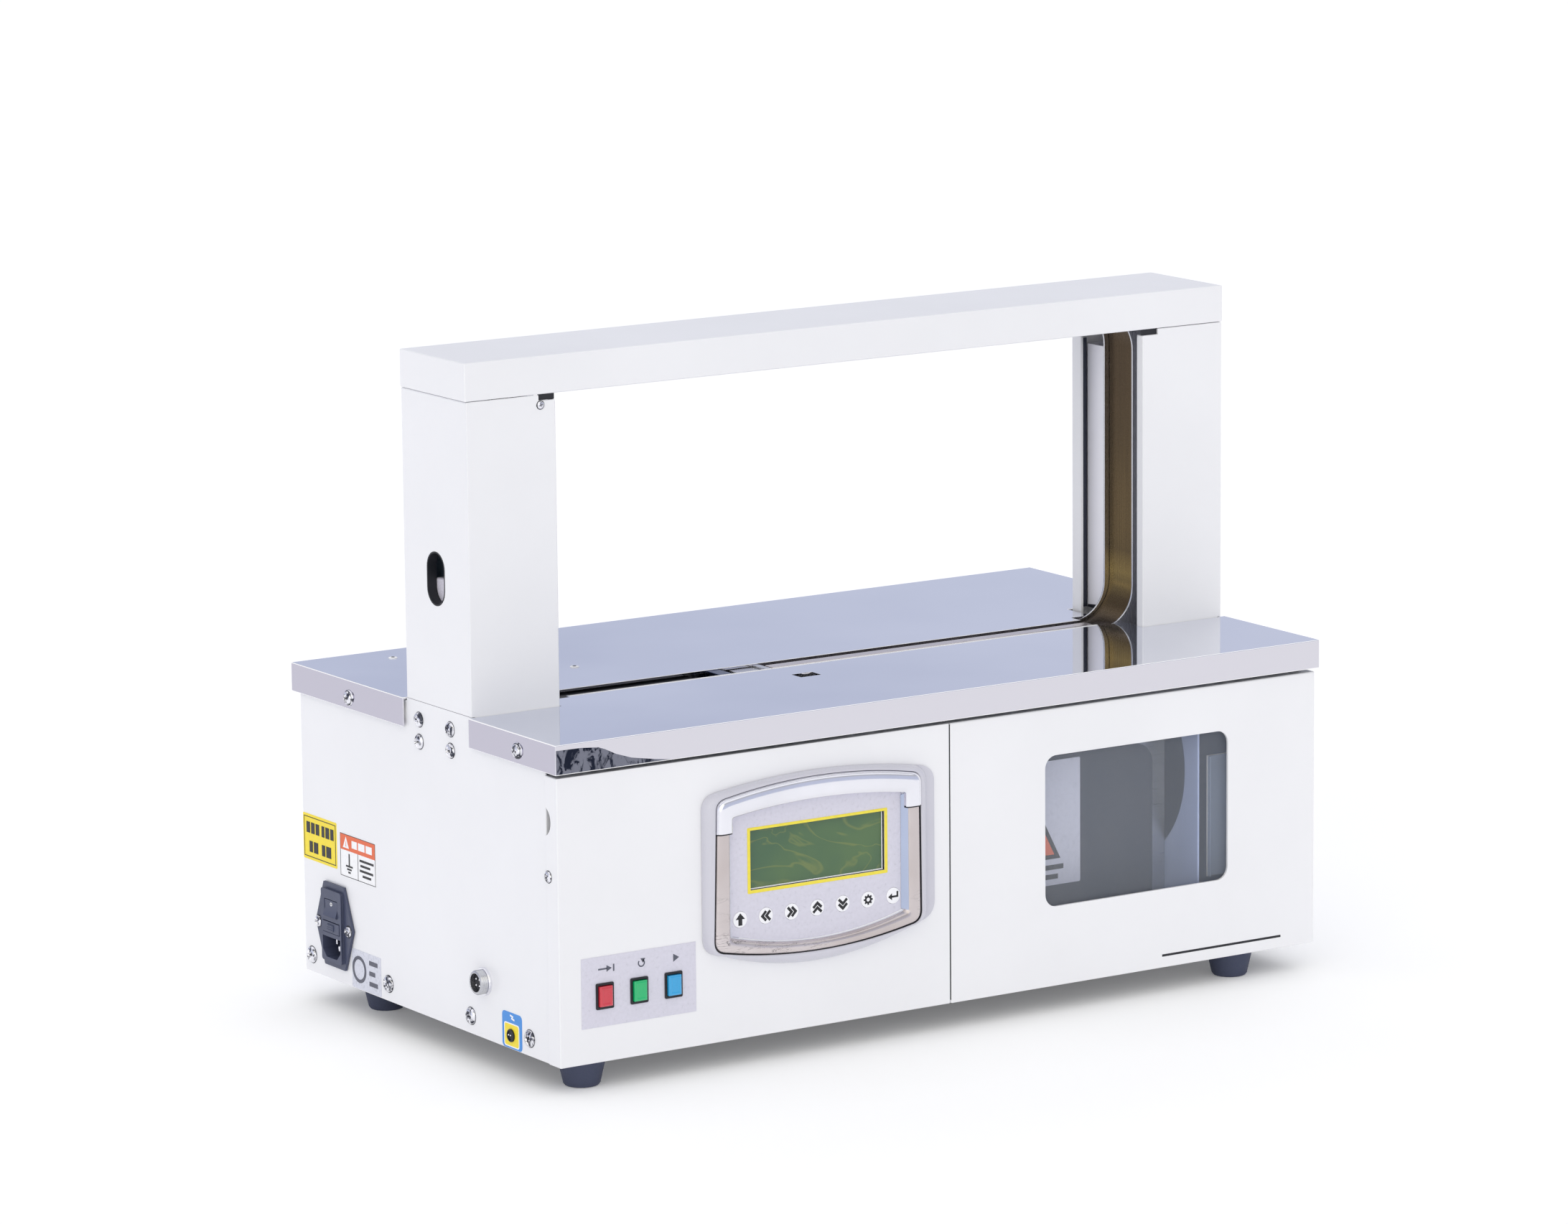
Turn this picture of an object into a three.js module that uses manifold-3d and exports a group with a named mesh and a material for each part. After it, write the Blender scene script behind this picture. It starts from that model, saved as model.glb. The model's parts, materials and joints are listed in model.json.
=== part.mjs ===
// Table-top tape banding machine: a sheet-metal cabinet with a slotted steel table and a tape arch over it.
// Millimetres. +X runs along the table, +Y to the back, +Z up. The group stands on Z = 0, centred on its box.
import * as THREE from "three";
import { mergeVertices } from "three/addons/utils/BufferGeometryUtils.js";
import Module from "manifold-3d";

// Driving dimensions. Until the last line, X starts at the table's left end and Y at its front edge.
const TABLE = { length: 620, depth: 348, top: 235, sheet: 1.5, skirt: 20, frontEdge: 136.5, rearEdge: 156 };
const ARCH = { left: 3, right: 617, column: 68.2, front: 110, back: 195, sheet: 2, joint: 445, top: 470.5 };
const BODY = { left: 3, right: 617, front: 2.5, back: 341, bottom: 19.8, coverTop: 212.5, sheet: 1.8 };
const SEAM = 310.4; // between the control cover and the door
const COVER_DEPTH = 14.9;
const WINDOW = { x: [388.8, 543], z: [75, 180], corner: 9, pane: 3 };
const TRACK = { front: 133.5, back: 165.5, plate: 1.5, left: 60, right: 560 };
Object.assign(TRACK, { floor: 231.5, ceiling: 458, bend: 30 });
const HEAD = { x: [203, 258], wall: 5.5, middle: 149.5 };
const PANEL = { x: [112.3, 288.7], z: [80, 187], crown: 7, sag: 14, corner: 12, proud: 8 };
PANEL.centre = (PANEL.x[0] + PANEL.x[1]) / 2;
const KEYPAD = { x: [132.3, 268.7], z: [93, 170.5], crown: 5.7, sag: 11.5, corner: 2, proud: 3 }; // its floor
const DISPLAY = { x: [149.3, 253.5], z: [121, 159] };
const KEYS = { first: 140, pitch: 20.3, z: 101.3, radius: 5.5, count: 7 };
const BUTTONS = { x: [36.2, 62.7, 89.2], z: 64, width: 12.5, height: 16.5 };
const INLET = { y: 296.8, z: 59, waist: 51, ends: 27.6, height: 58.4 };
const CONNECTOR = { y: 99, z: 59, radius: 7.9, bore: 6.5, flange: 8.9, proud: 7.2 };
const FOOT = { radius: 16.5, rim: 12.4, tip: 11.2, height: 19.5, left: 33, right: 563, front: 27, rear: 283 };
const HINGE = { x: 620.4, y: 17.9, radius: 2.1, z: [40, 195], knuckles: 5 };
const MAIN_PLATE = { x: [60, 526], y: [53, 59], z: [22.1, 217.5] };
const FEED = { x: 300, z: 192, roller: 18, pinch: 12, pulley: 18, motorPulley: 12, motorX: 410, motorZ: 105 };
const CAMS = { z: 135, disc: 12, throw: 3, shaft: 6, travel: 3 };
const REEL = { x: 455, z: 105, flange: 68, hub: 20, bore: 8.4 };
const GAP = 0.3; // left between pieces that touch

const wasm = await Module();
wasm.setup();

// Finishes
const finish = (color, roughness, metalness = 0) =>
  new THREE.MeshStandardMaterial({ color, roughness, metalness });
const FINISH = {
  paint: finish(0xecebf0, 0.35),
  polishedSteel: finish(0xb8bdd4, 0.12, 1),
  brushedSteel: finish(0xa9abb2, 0.35, 1),
  bronze: finish(0x4b3c30, 0.3, 0.9),
  blueSteel: finish(0x2b3550, 0.35, 0.9),
  aluminium: finish(0xb9bcc2, 0.4, 1),
  greyPaint: finish(0x565b66, 0.5),
  lightPaint: finish(0x9aa3b4, 0.45),
  overlay: finish(0xd7d6e2, 0.4),
  glass: finish(0x587c5f, 0.1),
  pane: finish(0xb8c4d8, 0.05),
  rubber: finish(0x3e4258, 0.8),
  black: finish(0x2b3040, 0.45),
  brass: finish(0xb08d4a, 0.3, 1),
  key: finish(0xf2f2f6, 0.5),
  red: finish(0xc83b4b, 0.3),
  green: finish(0x10b870, 0.3),
  blue: finish(0x30a5dc, 0.3),
};

// Solids: a geometry becomes a closed body that can be joined and cut.
function solid(geometry) {
  const bare = new THREE.BufferGeometry();
  const loose = geometry.index ? geometry.toNonIndexed() : geometry;
  bare.setAttribute("position", loose.getAttribute("position"));
  const merged = mergeVertices(bare, 1e-4);
  return new wasm.Manifold(
    new wasm.Mesh({
      numProp: 3,
      vertProperties: merged.getAttribute("position").array,
      triVerts: new Uint32Array(merged.index.array),
    }),
  );
}

function block(x, y, z) {
  const g = new THREE.BoxGeometry(x[1] - x[0], y[1] - y[0], z[1] - z[0]);
  return solid(g.translate((x[0] + x[1]) / 2, (y[0] + y[1]) / 2, (z[0] + z[1]) / 2));
}

// A prism along an axis. Its outline is in (y, z) for x, in (x, z) for y and in (x, y) for z.
const AXES = {
  x: [new THREE.Vector3(0, 1, 0), new THREE.Vector3(0, 0, 1), new THREE.Vector3(1, 0, 0)],
  y: [new THREE.Vector3(1, 0, 0), new THREE.Vector3(0, 0, 1), new THREE.Vector3(0, -1, 0)],
  z: [new THREE.Vector3(1, 0, 0), new THREE.Vector3(0, 1, 0), new THREE.Vector3(0, 0, 1)],
};
function prism(axis, outline, span, curveSegments = 6) {
  const options = { depth: span[1] - span[0], bevelEnabled: false, curveSegments };
  const g = new THREE.ExtrudeGeometry(outline, options);
  g.applyMatrix4(new THREE.Matrix4().makeBasis(...AXES[axis]));
  const shift = AXES[axis][2].clone().multiplyScalar(axis === "y" ? -span[1] : span[0]);
  return solid(g.translate(shift.x, shift.y, shift.z));
}

// A cylinder along an axis, centred at (a, b) of the two other axes in X, Y, Z order.
function rod(axis, a, b, radius, span, sides = 24, endRadius = radius) {
  const g = new THREE.CylinderGeometry(endRadius, radius, span[1] - span[0], sides);
  const middle = (span[0] + span[1]) / 2;
  if (axis === "x") return solid(g.rotateZ(-Math.PI / 2).translate(middle, a, b));
  if (axis === "y") return solid(g.translate(a, middle, b));
  return solid(g.rotateX(Math.PI / 2).translate(a, b, middle));
}

const join = (first, ...rest) => rest.reduce((a, b) => a.add(b), first);
const cut = (first, ...rest) => rest.reduce((a, b) => a.subtract(b), first);

function polygon(...points) {
  return new THREE.Shape(points.map(([u, v]) => new THREE.Vector2(u, v)));
}

function roundedRectangle(u, v, radius) {
  const s = new THREE.Shape();
  s.moveTo(u[0] + radius, v[0]);
  s.absarc(u[1] - radius, v[0] + radius, radius, -Math.PI / 2, 0);
  s.absarc(u[1] - radius, v[1] - radius, radius, 0, Math.PI / 2);
  s.absarc(u[0] + radius, v[1] - radius, radius, Math.PI / 2, Math.PI);
  s.absarc(u[0] + radius, v[0] + radius, radius, Math.PI, 1.5 * Math.PI);
  s.closePath();
  return s;
}

// The scene graph
const machine = new THREE.Group();
function assembly(x = 0, y = 0, z = 0) {
  const group = new THREE.Group();
  group.position.set(x, y, z);
  machine.add(group);
  return group;
}
function part(group, name, body, material, x = 0, y = 0, z = 0) {
  const g = new THREE.BufferGeometry();
  const made = body.getMesh();
  g.setAttribute("position", new THREE.BufferAttribute(made.vertProperties, 3));
  g.setIndex(new THREE.BufferAttribute(made.triVerts, 1));
  const mesh = new THREE.Mesh(g.toNonIndexed(), material);
  mesh.geometry.computeVertexNormals();
  mesh.name = name;
  mesh.position.set(x, y, z);
  group.add(mesh);
}

// Cabinet: pan, side panels, rear cover and feet
function cabinet() {
  const g = assembly();
  const { left, right, bottom, sheet, back } = BODY;
  const inner = [left + sheet + GAP, right - sheet - GAP];
  const depth = [19, back - sheet - GAP];
  const pan = cut(
    block(inner, depth, [bottom, bottom + 12]),
    block([inner[0] + 2, inner[1] - 2], [depth[0] + 2, depth[1] - 2], [bottom + 2, bottom + 30]),
  );
  const stile = cut(
    block([SEAM - 12, SEAM + 12], [21, 36], [bottom + 1, 212]),
    block([SEAM - 10, SEAM + 10], [23, 40], [bottom + 2, 240]),
  );
  part(g, "base_pan", join(pan, stile), FINISH.brushedSteel);

  const lip = 14;
  const sideOutline = polygon(
    [17.7, bottom], [back, bottom], [back, TABLE.top - 2],
    [ARCH.back, TABLE.top - 2], [ARCH.back, TABLE.top - 0.2],
    [ARCH.front, TABLE.top - 0.2], [ARCH.front, TABLE.top - 2], [17.7, TABLE.top - 2],
  );
  const postFootGap = block([left, left + sheet + lip], [ARCH.front - 1, ARCH.back + 1], [190, 240]);
  const inletHole = block([0, 20], [INLET.y - 14.5, INLET.y + 14.5], [INLET.z - 25, INLET.z + 25]);
  const leftSheet = cut(prism("x", sideOutline, [left, left + sheet]), inletHole,
    rod("x", CONNECTOR.y, CONNECTOR.z, CONNECTOR.radius + GAP, [0, 20]));
  const lipInside = (x) => [
    block(x, [17.7, 17.7 + sheet], [bottom + 30, 212]),
    cut(block(x, [25, back - 10], [TABLE.top - 4, TABLE.top - 2]), postFootGap,
      postFootGap.translate([right - left - lip - sheet, 0, 0])),
  ];
  part(g, "left_side_panel", join(leftSheet, ...lipInside([left, left + lip])), FINISH.paint);
  const rightSheet = prism("x", sideOutline, [right - sheet, right]);
  const bayBracket = [
    block([546, right - 1], [30, 31.5], [71, 157]),
    block([right - sheet - 3, right - sheet + 0.5], [30, 60], [71, 157]),
  ];
  const rightPanel = join(rightSheet, ...lipInside([right - lip, right]), ...bayBracket);
  part(g, "right_side_panel", rightPanel, FINISH.paint);

  let rear = block([left + sheet + GAP, right - sheet - GAP], [back - sheet, back], [bottom, TABLE.top - 5]);
  for (let row = 0; row < 2; row++)
    for (let i = 0; i < 9; i++) {
      const x = 120 + i * 12 + row * 280;
      rear = cut(rear, block([x, x + 5], [back - 5, back + 5], [120, 165]));
    }
  part(g, "rear_cover", rear, FINISH.paint);

  const foot = join(
    rod("z", 0, 0, FOOT.rim, [1.5, FOOT.height], 32, FOOT.radius),
    rod("z", 0, 0, FOOT.tip, [0, 1.5], 32, FOOT.rim),
  );
  for (const depthName of ["front", "rear"])
    for (const sideName of ["left", "right"]) {
      const name = `foot_${depthName}_${sideName}`;
      part(g, name, foot, FINISH.rubber, FOOT[sideName], FOOT[depthName], 0);
    }
}

// Table: two polished plates with a tape slot between them and notches for the posts
function table() {
  const g = assembly();
  const { length, depth, top, sheet, skirt, frontEdge, rearEdge } = TABLE;
  const notch = { x: [71.8, length - 71.8], front: ARCH.front - 0.4, back: ARCH.back + 0.7 };
  const relief = { width: 20, front: 131.6, back: 167.4 }; // where the track's bends rise past the plates
  const under = [top - skirt - 1, top - sheet];
  const frontBox = cut(
    block([0, length], [0, frontEdge], [top - skirt, top]),
    block([sheet, length - sheet], [sheet, frontEdge + 1], under),
    block([-1, notch.x[0]], [notch.front, frontEdge + 1], [200, 240]),
    block([notch.x[1], length + 1], [notch.front, frontEdge + 1], [200, 240]),
    block([notch.x[0] - 1, notch.x[0] + relief.width], [relief.front, 140], [200, 240]),
    block([notch.x[1] - relief.width, notch.x[1] + 1], [relief.front, 140], [200, 240]),
    block([254.5, 271], [98, 110], [200, 240]), // sensor window
  );
  part(g, "table_front_plate", frontBox, FINISH.polishedSteel);

  const tongueOutline = roundedRectangle([75, length - 75], [rearEdge, notch.back + 20], 5);
  const rearBox = cut(
    block([0, length], [notch.back, depth], [top - skirt, top]),
    block([sheet, length - sheet], [notch.back - 1, depth - sheet], under),
  );
  const rear = cut(
    join(rearBox, prism("z", tongueOutline, [top - sheet, top], 4)),
    block([0, notch.x[0] + relief.width], [150, relief.back], [200, 240]),
    block([notch.x[1] - relief.width, length], [150, relief.back], [200, 240]),
  );
  part(g, "table_rear_plate", rear, FINISH.polishedSteel);
}

// Arch: two C-section posts, open towards each other, and a beam over them
function arch() {
  const g = assembly();
  const { left, right, column, front, back, sheet, joint, top } = ARCH;
  const lip = { front: 7, back: 11 };
  const step = { width: 13, drop: 4.2 };
  const below = 200;
  function post(outer, mirrored) {
    const channel = (from, bottom, height) =>
      cut(
        block([from, column + left], [front, back], [bottom, height]),
        block([from + sheet, column + left - sheet], [front + sheet, back - sheet], [0, 600]),
        block([20, 100], [front + lip.front, back - lip.back], [0, 600]),
      );
    let c = join(
      channel(left, TABLE.top + 0.1, joint - GAP),
      channel(left + sheet + GAP, below, TABLE.top + 20),
    );
    c = cut(c, block([column + left - step.width, 100], [0, 300], [joint - step.drop, 600]));
    if (!mirrored) {
      const slot = roundedRectangle([142, 164.6], [303.6, 339.6], 11.2);
      return cut(c, prism("x", slot, [0, 12], 5));
    }
    return c.mirror([1, 0, 0]).translate([left + outer, 0, 0]);
  }
  part(g, "left_post", post(left, false), FINISH.paint);
  part(g, "right_post", post(right, true), FINISH.paint);

  const span = [left - 0.8, right + 0.8];
  const clear = [column + left, right - column];
  const beam = cut(
    block(span, [front + GAP, back - GAP], [joint, top]),
    block([span[0] + sheet, span[1] - sheet], [front + sheet, back - sheet], [0, top - sheet]),
  );
  const lips = [
    block(clear, [front + GAP, front + lip.front], [joint, joint + sheet]),
    block(clear, [back - lip.back, back - GAP], [joint, joint + sheet]),
  ];
  part(g, "arch_beam", join(beam, ...lips), FINISH.paint);
}

// Track: the loop that carries the tape round, open at the sealing head
function track() {
  const g = assembly();
  const { front, back, plate, left, right, floor, ceiling, bend } = TRACK;
  const headGap = block(HEAD.x, [100, 200], [200, 300]);
  const outside = roundedRectangle([left - 8, right + 8], [floor - 13.5, ceiling + 6], bend);
  const inside = roundedRectangle([left + 4, right - 4], [floor + 1.7, ceiling - 4], bend - 4);
  const ring = cut(
    prism("y", outside, [0, plate]),
    prism("y", inside, [-1, plate + 1]),
    headGap.translate([0, -front, 0]),
  );
  part(g, "track_front_guide", ring, FINISH.brushedSteel, 0, front - plate, 0);
  part(g, "track_rear_guide", ring, FINISH.brushedSteel, 0, back, 0);
  const width = [front + GAP, back - GAP];
  const band = cut(
    prism("y", roundedRectangle([left - 1, right + 1], [floor - 1, ceiling + 1], bend + 1), width),
    prism("y", roundedRectangle([left, right], [floor, ceiling], bend), [0, 200]),
    headGap,
  );
  part(g, "track_band", band, FINISH.bronze);

  const web = [185.3, 186.8];
  const bracket = join(
    block([0, 1.5], [back + plate + GAP, web[1]], [TABLE.top + 2, 426]),
    block([0, 55.6], web, [TABLE.top + 2, 426]),
    block([55, 58.2], [165, web[1]], [TABLE.top + 22, 426]),
  );
  const face = 556.5;
  part(g, "right_track_bracket", bracket, FINISH.lightPaint, face, 0, 0);
  part(g, "left_track_bracket", bracket.mirror([1, 0, 0]), FINISH.lightPaint, TABLE.length - face, 0, 0);
}

// Sealing head: grippers, cutter, press platen, heater and anvil in a head block, worked by a camshaft
function sealingHead() {
  const g = assembly();
  const { middle, wall } = HEAD;
  const slot = [134.2, 164.8];
  const under = TABLE.top - TABLE.sheet - GAP; // the table's edges reach over the jaws' shoulders
  const shoulders = [
    block([190, 270], [120, TABLE.frontEdge + GAP], [under, 250]),
    block([190, 270], [TABLE.rearEdge - GAP, 180], [under, 250]),
  ];
  const cheeks = [[126, 126 + wall], [167.5, 167.5 + wall]];
  const top = 226.6;
  const ends = [196, 265];
  const webs = [[ends[0], 202.5], [258.5, ends[1]]];
  const frame = join(
    ...cheeks.map((y) => block(ends, y, [120, top])),
    ...webs.map((x) => block(x, [cheeks[0][0], cheeks[1][1]], [120, 217.5])),
    block([200, 262], [MAIN_PLATE.y[1] + GAP, 127], [175, 205]),
  );
  const head = cut(frame, rod("x", middle, CAMS.z, CAMS.shaft + 0.5, [180, 300]));
  part(g, "head_block", head, FINISH.aluminium);

  // Lowered, the jaws stay just clear of the cams' highest point
  const followers = CAMS.z + CAMS.disc + CAMS.throw + CAMS.travel + GAP;
  const jaws = [
    ["left_gripper", [216.3, 226], TABLE.top - 0.6, FINISH.blueSteel],
    ["cutter_blade", [227, 232.4], TABLE.top - 3, FINISH.brushedSteel],
    ["press_platen", [233.3, 251.7], top + 0.2, FINISH.brushedSteel],
    ["right_gripper", [252.6, 257.7], TABLE.top - 0.6, FINISH.brushedSteel],
  ];
  for (const [name, x, height, material] of jaws)
    part(g, name, cut(block(x, slot, [followers, height]), ...shoulders), material);
  part(g, "anvil_plate", block([233.3, 252], [134, 196], [230.6, 233.1]), FINISH.brushedSteel);
  part(g, "heater_blade", block([235, 250], [168.5, 214], [227.3, 230.1]), FINISH.brass);

  let shaft = rod("x", 0, 0, CAMS.shaft, [0, 82]);
  jaws.forEach(([, x], i) => {
    const angle = THREE.MathUtils.degToRad(230 + i * 25);
    const thick = [x[0] + 0.5 - 196, x[1] - 0.5 - 196];
    const disc = rod("x", Math.cos(angle) * CAMS.throw, Math.sin(angle) * CAMS.throw, CAMS.disc, thick, 28);
    shaft = join(shaft, disc);
  });
  part(g, "cam_shaft", shaft, FINISH.brushedSteel, 196, middle, CAMS.z);
  const motor = join(
    rod("x", middle, CAMS.z, 24, [110, 190], 28),
    block([174, 195.7], [middle - 25, middle + 25], [CAMS.z - 25, CAMS.z + 25]),
  );
  part(g, "cam_motor", motor, FINISH.black);
}

// Feed unit: a belt-driven roller and a pinch roller, on the main plate
function feedUnit() {
  const g = assembly();
  const { x, z, roller, pinch, pulley, motorPulley, motorX, motorZ } = FEED;
  const tape = [134, 165];
  const belt = [44, 51.5];
  const pinchZ = z - roller - pinch - 0.6;
  const plate = cut(
    block(MAIN_PLATE.x, MAIN_PLATE.y, MAIN_PLATE.z),
    rod("y", x, z, 5.5, [40, 70]),
    rod("y", x, pinchZ, 4.5, [40, 70]),
    rod("y", motorX, motorZ, 10, [40, 70]),
  );
  part(g, "main_plate", plate, FINISH.aluminium);

  const tube = (r, bore, span) => cut(rod("y", 0, 0, r, span, 32), rod("y", 0, 0, bore, [0, 200]));
  const feedRoller = join(rod("y", 0, 0, 5, [42.5, 172]), rod("y", 0, 0, roller, tape, 32));
  part(g, "feed_roller", feedRoller, FINISH.rubber, x, 0, z);
  part(g, "feed_pulley", tube(pulley - GAP, 5.3, belt), FINISH.aluminium, x, 0, z);
  const pinchRoller = join(rod("y", 0, 0, 4, [53.5, 170]), rod("y", 0, 0, pinch, tape, 28));
  part(g, "pinch_roller", pinchRoller, FINISH.brushedSteel, x, 0, pinchZ);

  const motor = join(
    rod("y", motorX, motorZ, 29, [62, 118], 28),
    block([motorX - 30, motorX + 30], [MAIN_PLATE.y[1] + GAP, 66], [motorZ - 30, motorZ + 30]),
  );
  const recess = rod("y", motorX, motorZ, 6, [50, 62.5]);
  part(g, "feed_motor", cut(motor, recess), FINISH.black);
  const driver = join(rod("y", 0, 0, motorPulley - GAP, belt), rod("y", 0, 0, 4, [42.5, 62]));
  part(g, "motor_pulley", driver, FINISH.aluminium, motorX, 0, motorZ);

  // A belt of two tangent runs round the two pulleys
  function loop(offset) {
    const a = { x, z, r: pulley + offset };
    const b = { x: motorX, z: motorZ, r: motorPulley + offset };
    const direction = Math.atan2(b.z - a.z, b.x - a.x);
    const lean = Math.acos((a.r - b.r) / Math.hypot(b.x - a.x, b.z - a.z));
    const s = new THREE.Shape();
    s.absarc(a.x, a.z, a.r, direction + lean, direction - lean + 2 * Math.PI);
    s.absarc(b.x, b.z, b.r, direction - lean, direction + lean);
    s.closePath();
    return s;
  }
  const beltBody = cut(prism("y", loop(2.2), belt, 10), prism("y", loop(GAP), [0, 100], 10));
  part(g, "timing_belt", beltBody, FINISH.black);

  const guardOutline = new THREE.Shape();
  const guard = { x: [322, 506], z: [30, 170], corner: 14 };
  guardOutline.moveTo(guard.x[0], guard.z[0]);
  guardOutline.lineTo(guard.x[1], guard.z[0]);
  guardOutline.absarc(guard.x[1] - guard.corner, guard.z[1] - guard.corner, guard.corner, 0, Math.PI / 2);
  guardOutline.lineTo(guard.x[0], guard.z[1]);
  guardOutline.closePath();
  const standoffs = [[335, 40], [335, 60], [495, 40], [495, 150]].map(([sx, sz]) =>
    rod("y", sx, sz, 4, [41, MAIN_PLATE.y[0] - GAP], 12));
  part(g, "belt_guard", join(prism("y", guardOutline, [40, 41.5], 5), ...standoffs), FINISH.greyPaint);
}

// Tape reel on its spindle, behind the main plate
function tapeReel() {
  const g = assembly(REEL.x, 0, REEL.z);
  const plateBack = MAIN_PLATE.y[1] + GAP;
  const nearFlange = [129.5, 131.5];
  const farFlange = [167.5, 169.5];
  const spindle = join(
    rod("y", 0, 0, 8, [plateBack, 180]),
    rod("y", 0, 0, 14, [plateBack, plateBack + 4]),
    rod("y", 0, 0, 15, [171, 182], 12),
  );
  part(g, "reel_spindle", spindle, FINISH.brushedSteel);
  const reel = cut(
    join(
      rod("y", 0, 0, REEL.hub, [nearFlange[0], farFlange[1]], 32),
      rod("y", 0, 0, REEL.flange, nearFlange, 48),
      rod("y", 0, 0, REEL.flange, farFlange, 48),
    ),
    rod("y", 0, 0, REEL.bore, [100, 200]),
  );
  part(g, "tape_reel", reel, FINISH.overlay);
}

// Divider of the right-hand bay, with a round cut-out for the tape
function bay() {
  const g = assembly();
  const cutOut = { y: 101, z: 148, radius: 71 };
  const divider = cut(
    block([MAIN_PLATE.x[1] + GAP, 528], [15, 190], [32.2, 217.4]),
    rod("x", cutOut.y, cutOut.z, cutOut.radius, [500, 550], 48),
    block([500, 550], [0, 20], [209.5, 220]),
  );
  part(g, "bay_divider", divider, FINISH.lightPaint);
}

// Front cover with the control panel, keys and push buttons
function coverPan(x, flangeDepth) {
  const { front, bottom, coverTop, sheet } = BODY;
  const z = [bottom - 0.3, coverTop];
  return cut(
    block(x, [front, front + flangeDepth], z),
    block([x[0] + sheet, x[1] - sheet], [front + sheet, 40], [z[0] + sheet, z[1] - sheet]),
  );
}

// An outline with straight sides, a crowned top edge and a sagging bottom edge
function panelOutline({ x, z, crown, sag, corner }) {
  const r = corner;
  const s = new THREE.Shape();
  s.moveTo(x[0], z[0] + r);
  s.quadraticCurveTo(x[0], z[0], x[0] + r, z[0] - 2);
  s.quadraticCurveTo(PANEL.centre, z[0] - 2 * sag + 2, x[1] - r, z[0] - 2);
  s.quadraticCurveTo(x[1], z[0], x[1], z[0] + r);
  s.lineTo(x[1], z[1] - r * 0.6);
  s.quadraticCurveTo(x[1], z[1], x[1] - r, z[1] + 1);
  s.quadraticCurveTo(PANEL.centre, z[1] + 2 * crown - 1, x[0] + r, z[1] + 1);
  s.quadraticCurveTo(x[0], z[1], x[0], z[1] - r * 0.6);
  s.closePath();
  return s;
}

function controls() {
  const g = assembly();
  const { front } = BODY;
  const face = front - GAP;
  const coverX = [BODY.left - 0.8, SEAM - 0.3];
  const halves = { x: BUTTONS.width / 2, z: BUTTONS.height / 2 };
  const housings = BUTTONS.x.map((x) =>
    block([x - halves.x, x + halves.x], [0, 30], [BUTTONS.z - halves.z, BUTTONS.z + halves.z]));
  const cover = cut(
    coverPan(coverX, COVER_DEPTH),
    block([PANEL.centre - 69, PANEL.centre + 69], [0, 12], [92, 166]), // clears the keys and the display
    ...housings,
    rod("x", 21.2, 182, 10.6, [0, 4.1], 28), // finger notch into the cover's flange
  );
  part(g, "control_cover", cover, FINISH.paint);

  // Bezel: a proud surround with a flat inner floor for the keypad
  const bezel = cut(
    prism("y", panelOutline(PANEL), [front - PANEL.proud, face], 8),
    prism("y", panelOutline(KEYPAD), [front - 20, front - KEYPAD.proud], 8),
    block(DISPLAY.x, [-30, 30], DISPLAY.z),
    ...keyPlaces().map((x) => rod("y", x, KEYS.z, KEYS.radius + GAP, [-30, 30], 24)),
  );
  part(g, "panel_bezel", bezel, FINISH.overlay);

  const board = join(
    block([DISPLAY.x[0] + GAP, DISPLAY.x[1] - GAP], [face, 17], [DISPLAY.z[0] + GAP, DISPLAY.z[1] - GAP]),
    block([128, 274], [16, 17.6], [76, 180]), // circuit board
    block([150, 180], [17, 30], [150, 172]), // cable socket
    block([200, 240], [17, 26], [84, 112]), // power converter
  );
  part(g, "display_board", board, FINISH.glass);

  keyPlaces().forEach((x, i) => {
    const key = join(
      rod("y", 0, 0, KEYS.radius, [front - 3.6, face], 24),
      rod("y", 0, 0, 2.2, [front - 1, 13.5], 12),
    );
    part(g, KEY_NAMES[i], key, FINISH.key, x, 0, KEYS.z);
  });

  const rim = { x: halves.x - GAP, z: halves.z - GAP };
  const wall = 0.7;
  const housing = (x, grow, span) =>
    block([x - rim.x + grow, x + rim.x - grow], span, [BUTTONS.z - rim.z + grow, BUTTONS.z + rim.z - grow]);
  const switchBlock = cut(
    join(
      ...BUTTONS.x.map((x) => housing(x, 0, [front - 0.8, 26])),
      block([BUTTONS.x[0] - 8, BUTTONS.x[2] + 8], [19, 24], [BUTTONS.z - 8, BUTTONS.z + 8]),
    ),
    ...BUTTONS.x.map((x) => housing(x, wall, [-10, 18])),
  );
  part(g, "switch_block", switchBlock, FINISH.black);
  BUTTONS.x.forEach((x, i) => {
    const [name, material] = BUTTON_NAMES[i];
    const cap = block([1 - rim.x, rim.x - 1], [front - 3, 14.5], [1.2 - rim.z, rim.z - 1.2]);
    part(g, name, cap, material, x, 0, BUTTONS.z);
  });
}
const KEY_NAMES = ["key_up", "key_left", "key_right", "key_page_up", "key_page_down", "key_set", "key_enter"];
const BUTTON_NAMES = [
  ["feed_button", FINISH.red],
  ["reset_button", FINISH.green],
  ["start_button", FINISH.blue],
];
function keyPlaces() {
  return Array.from({ length: KEYS.count }, (_, i) => KEYS.first + i * KEYS.pitch);
}

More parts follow.
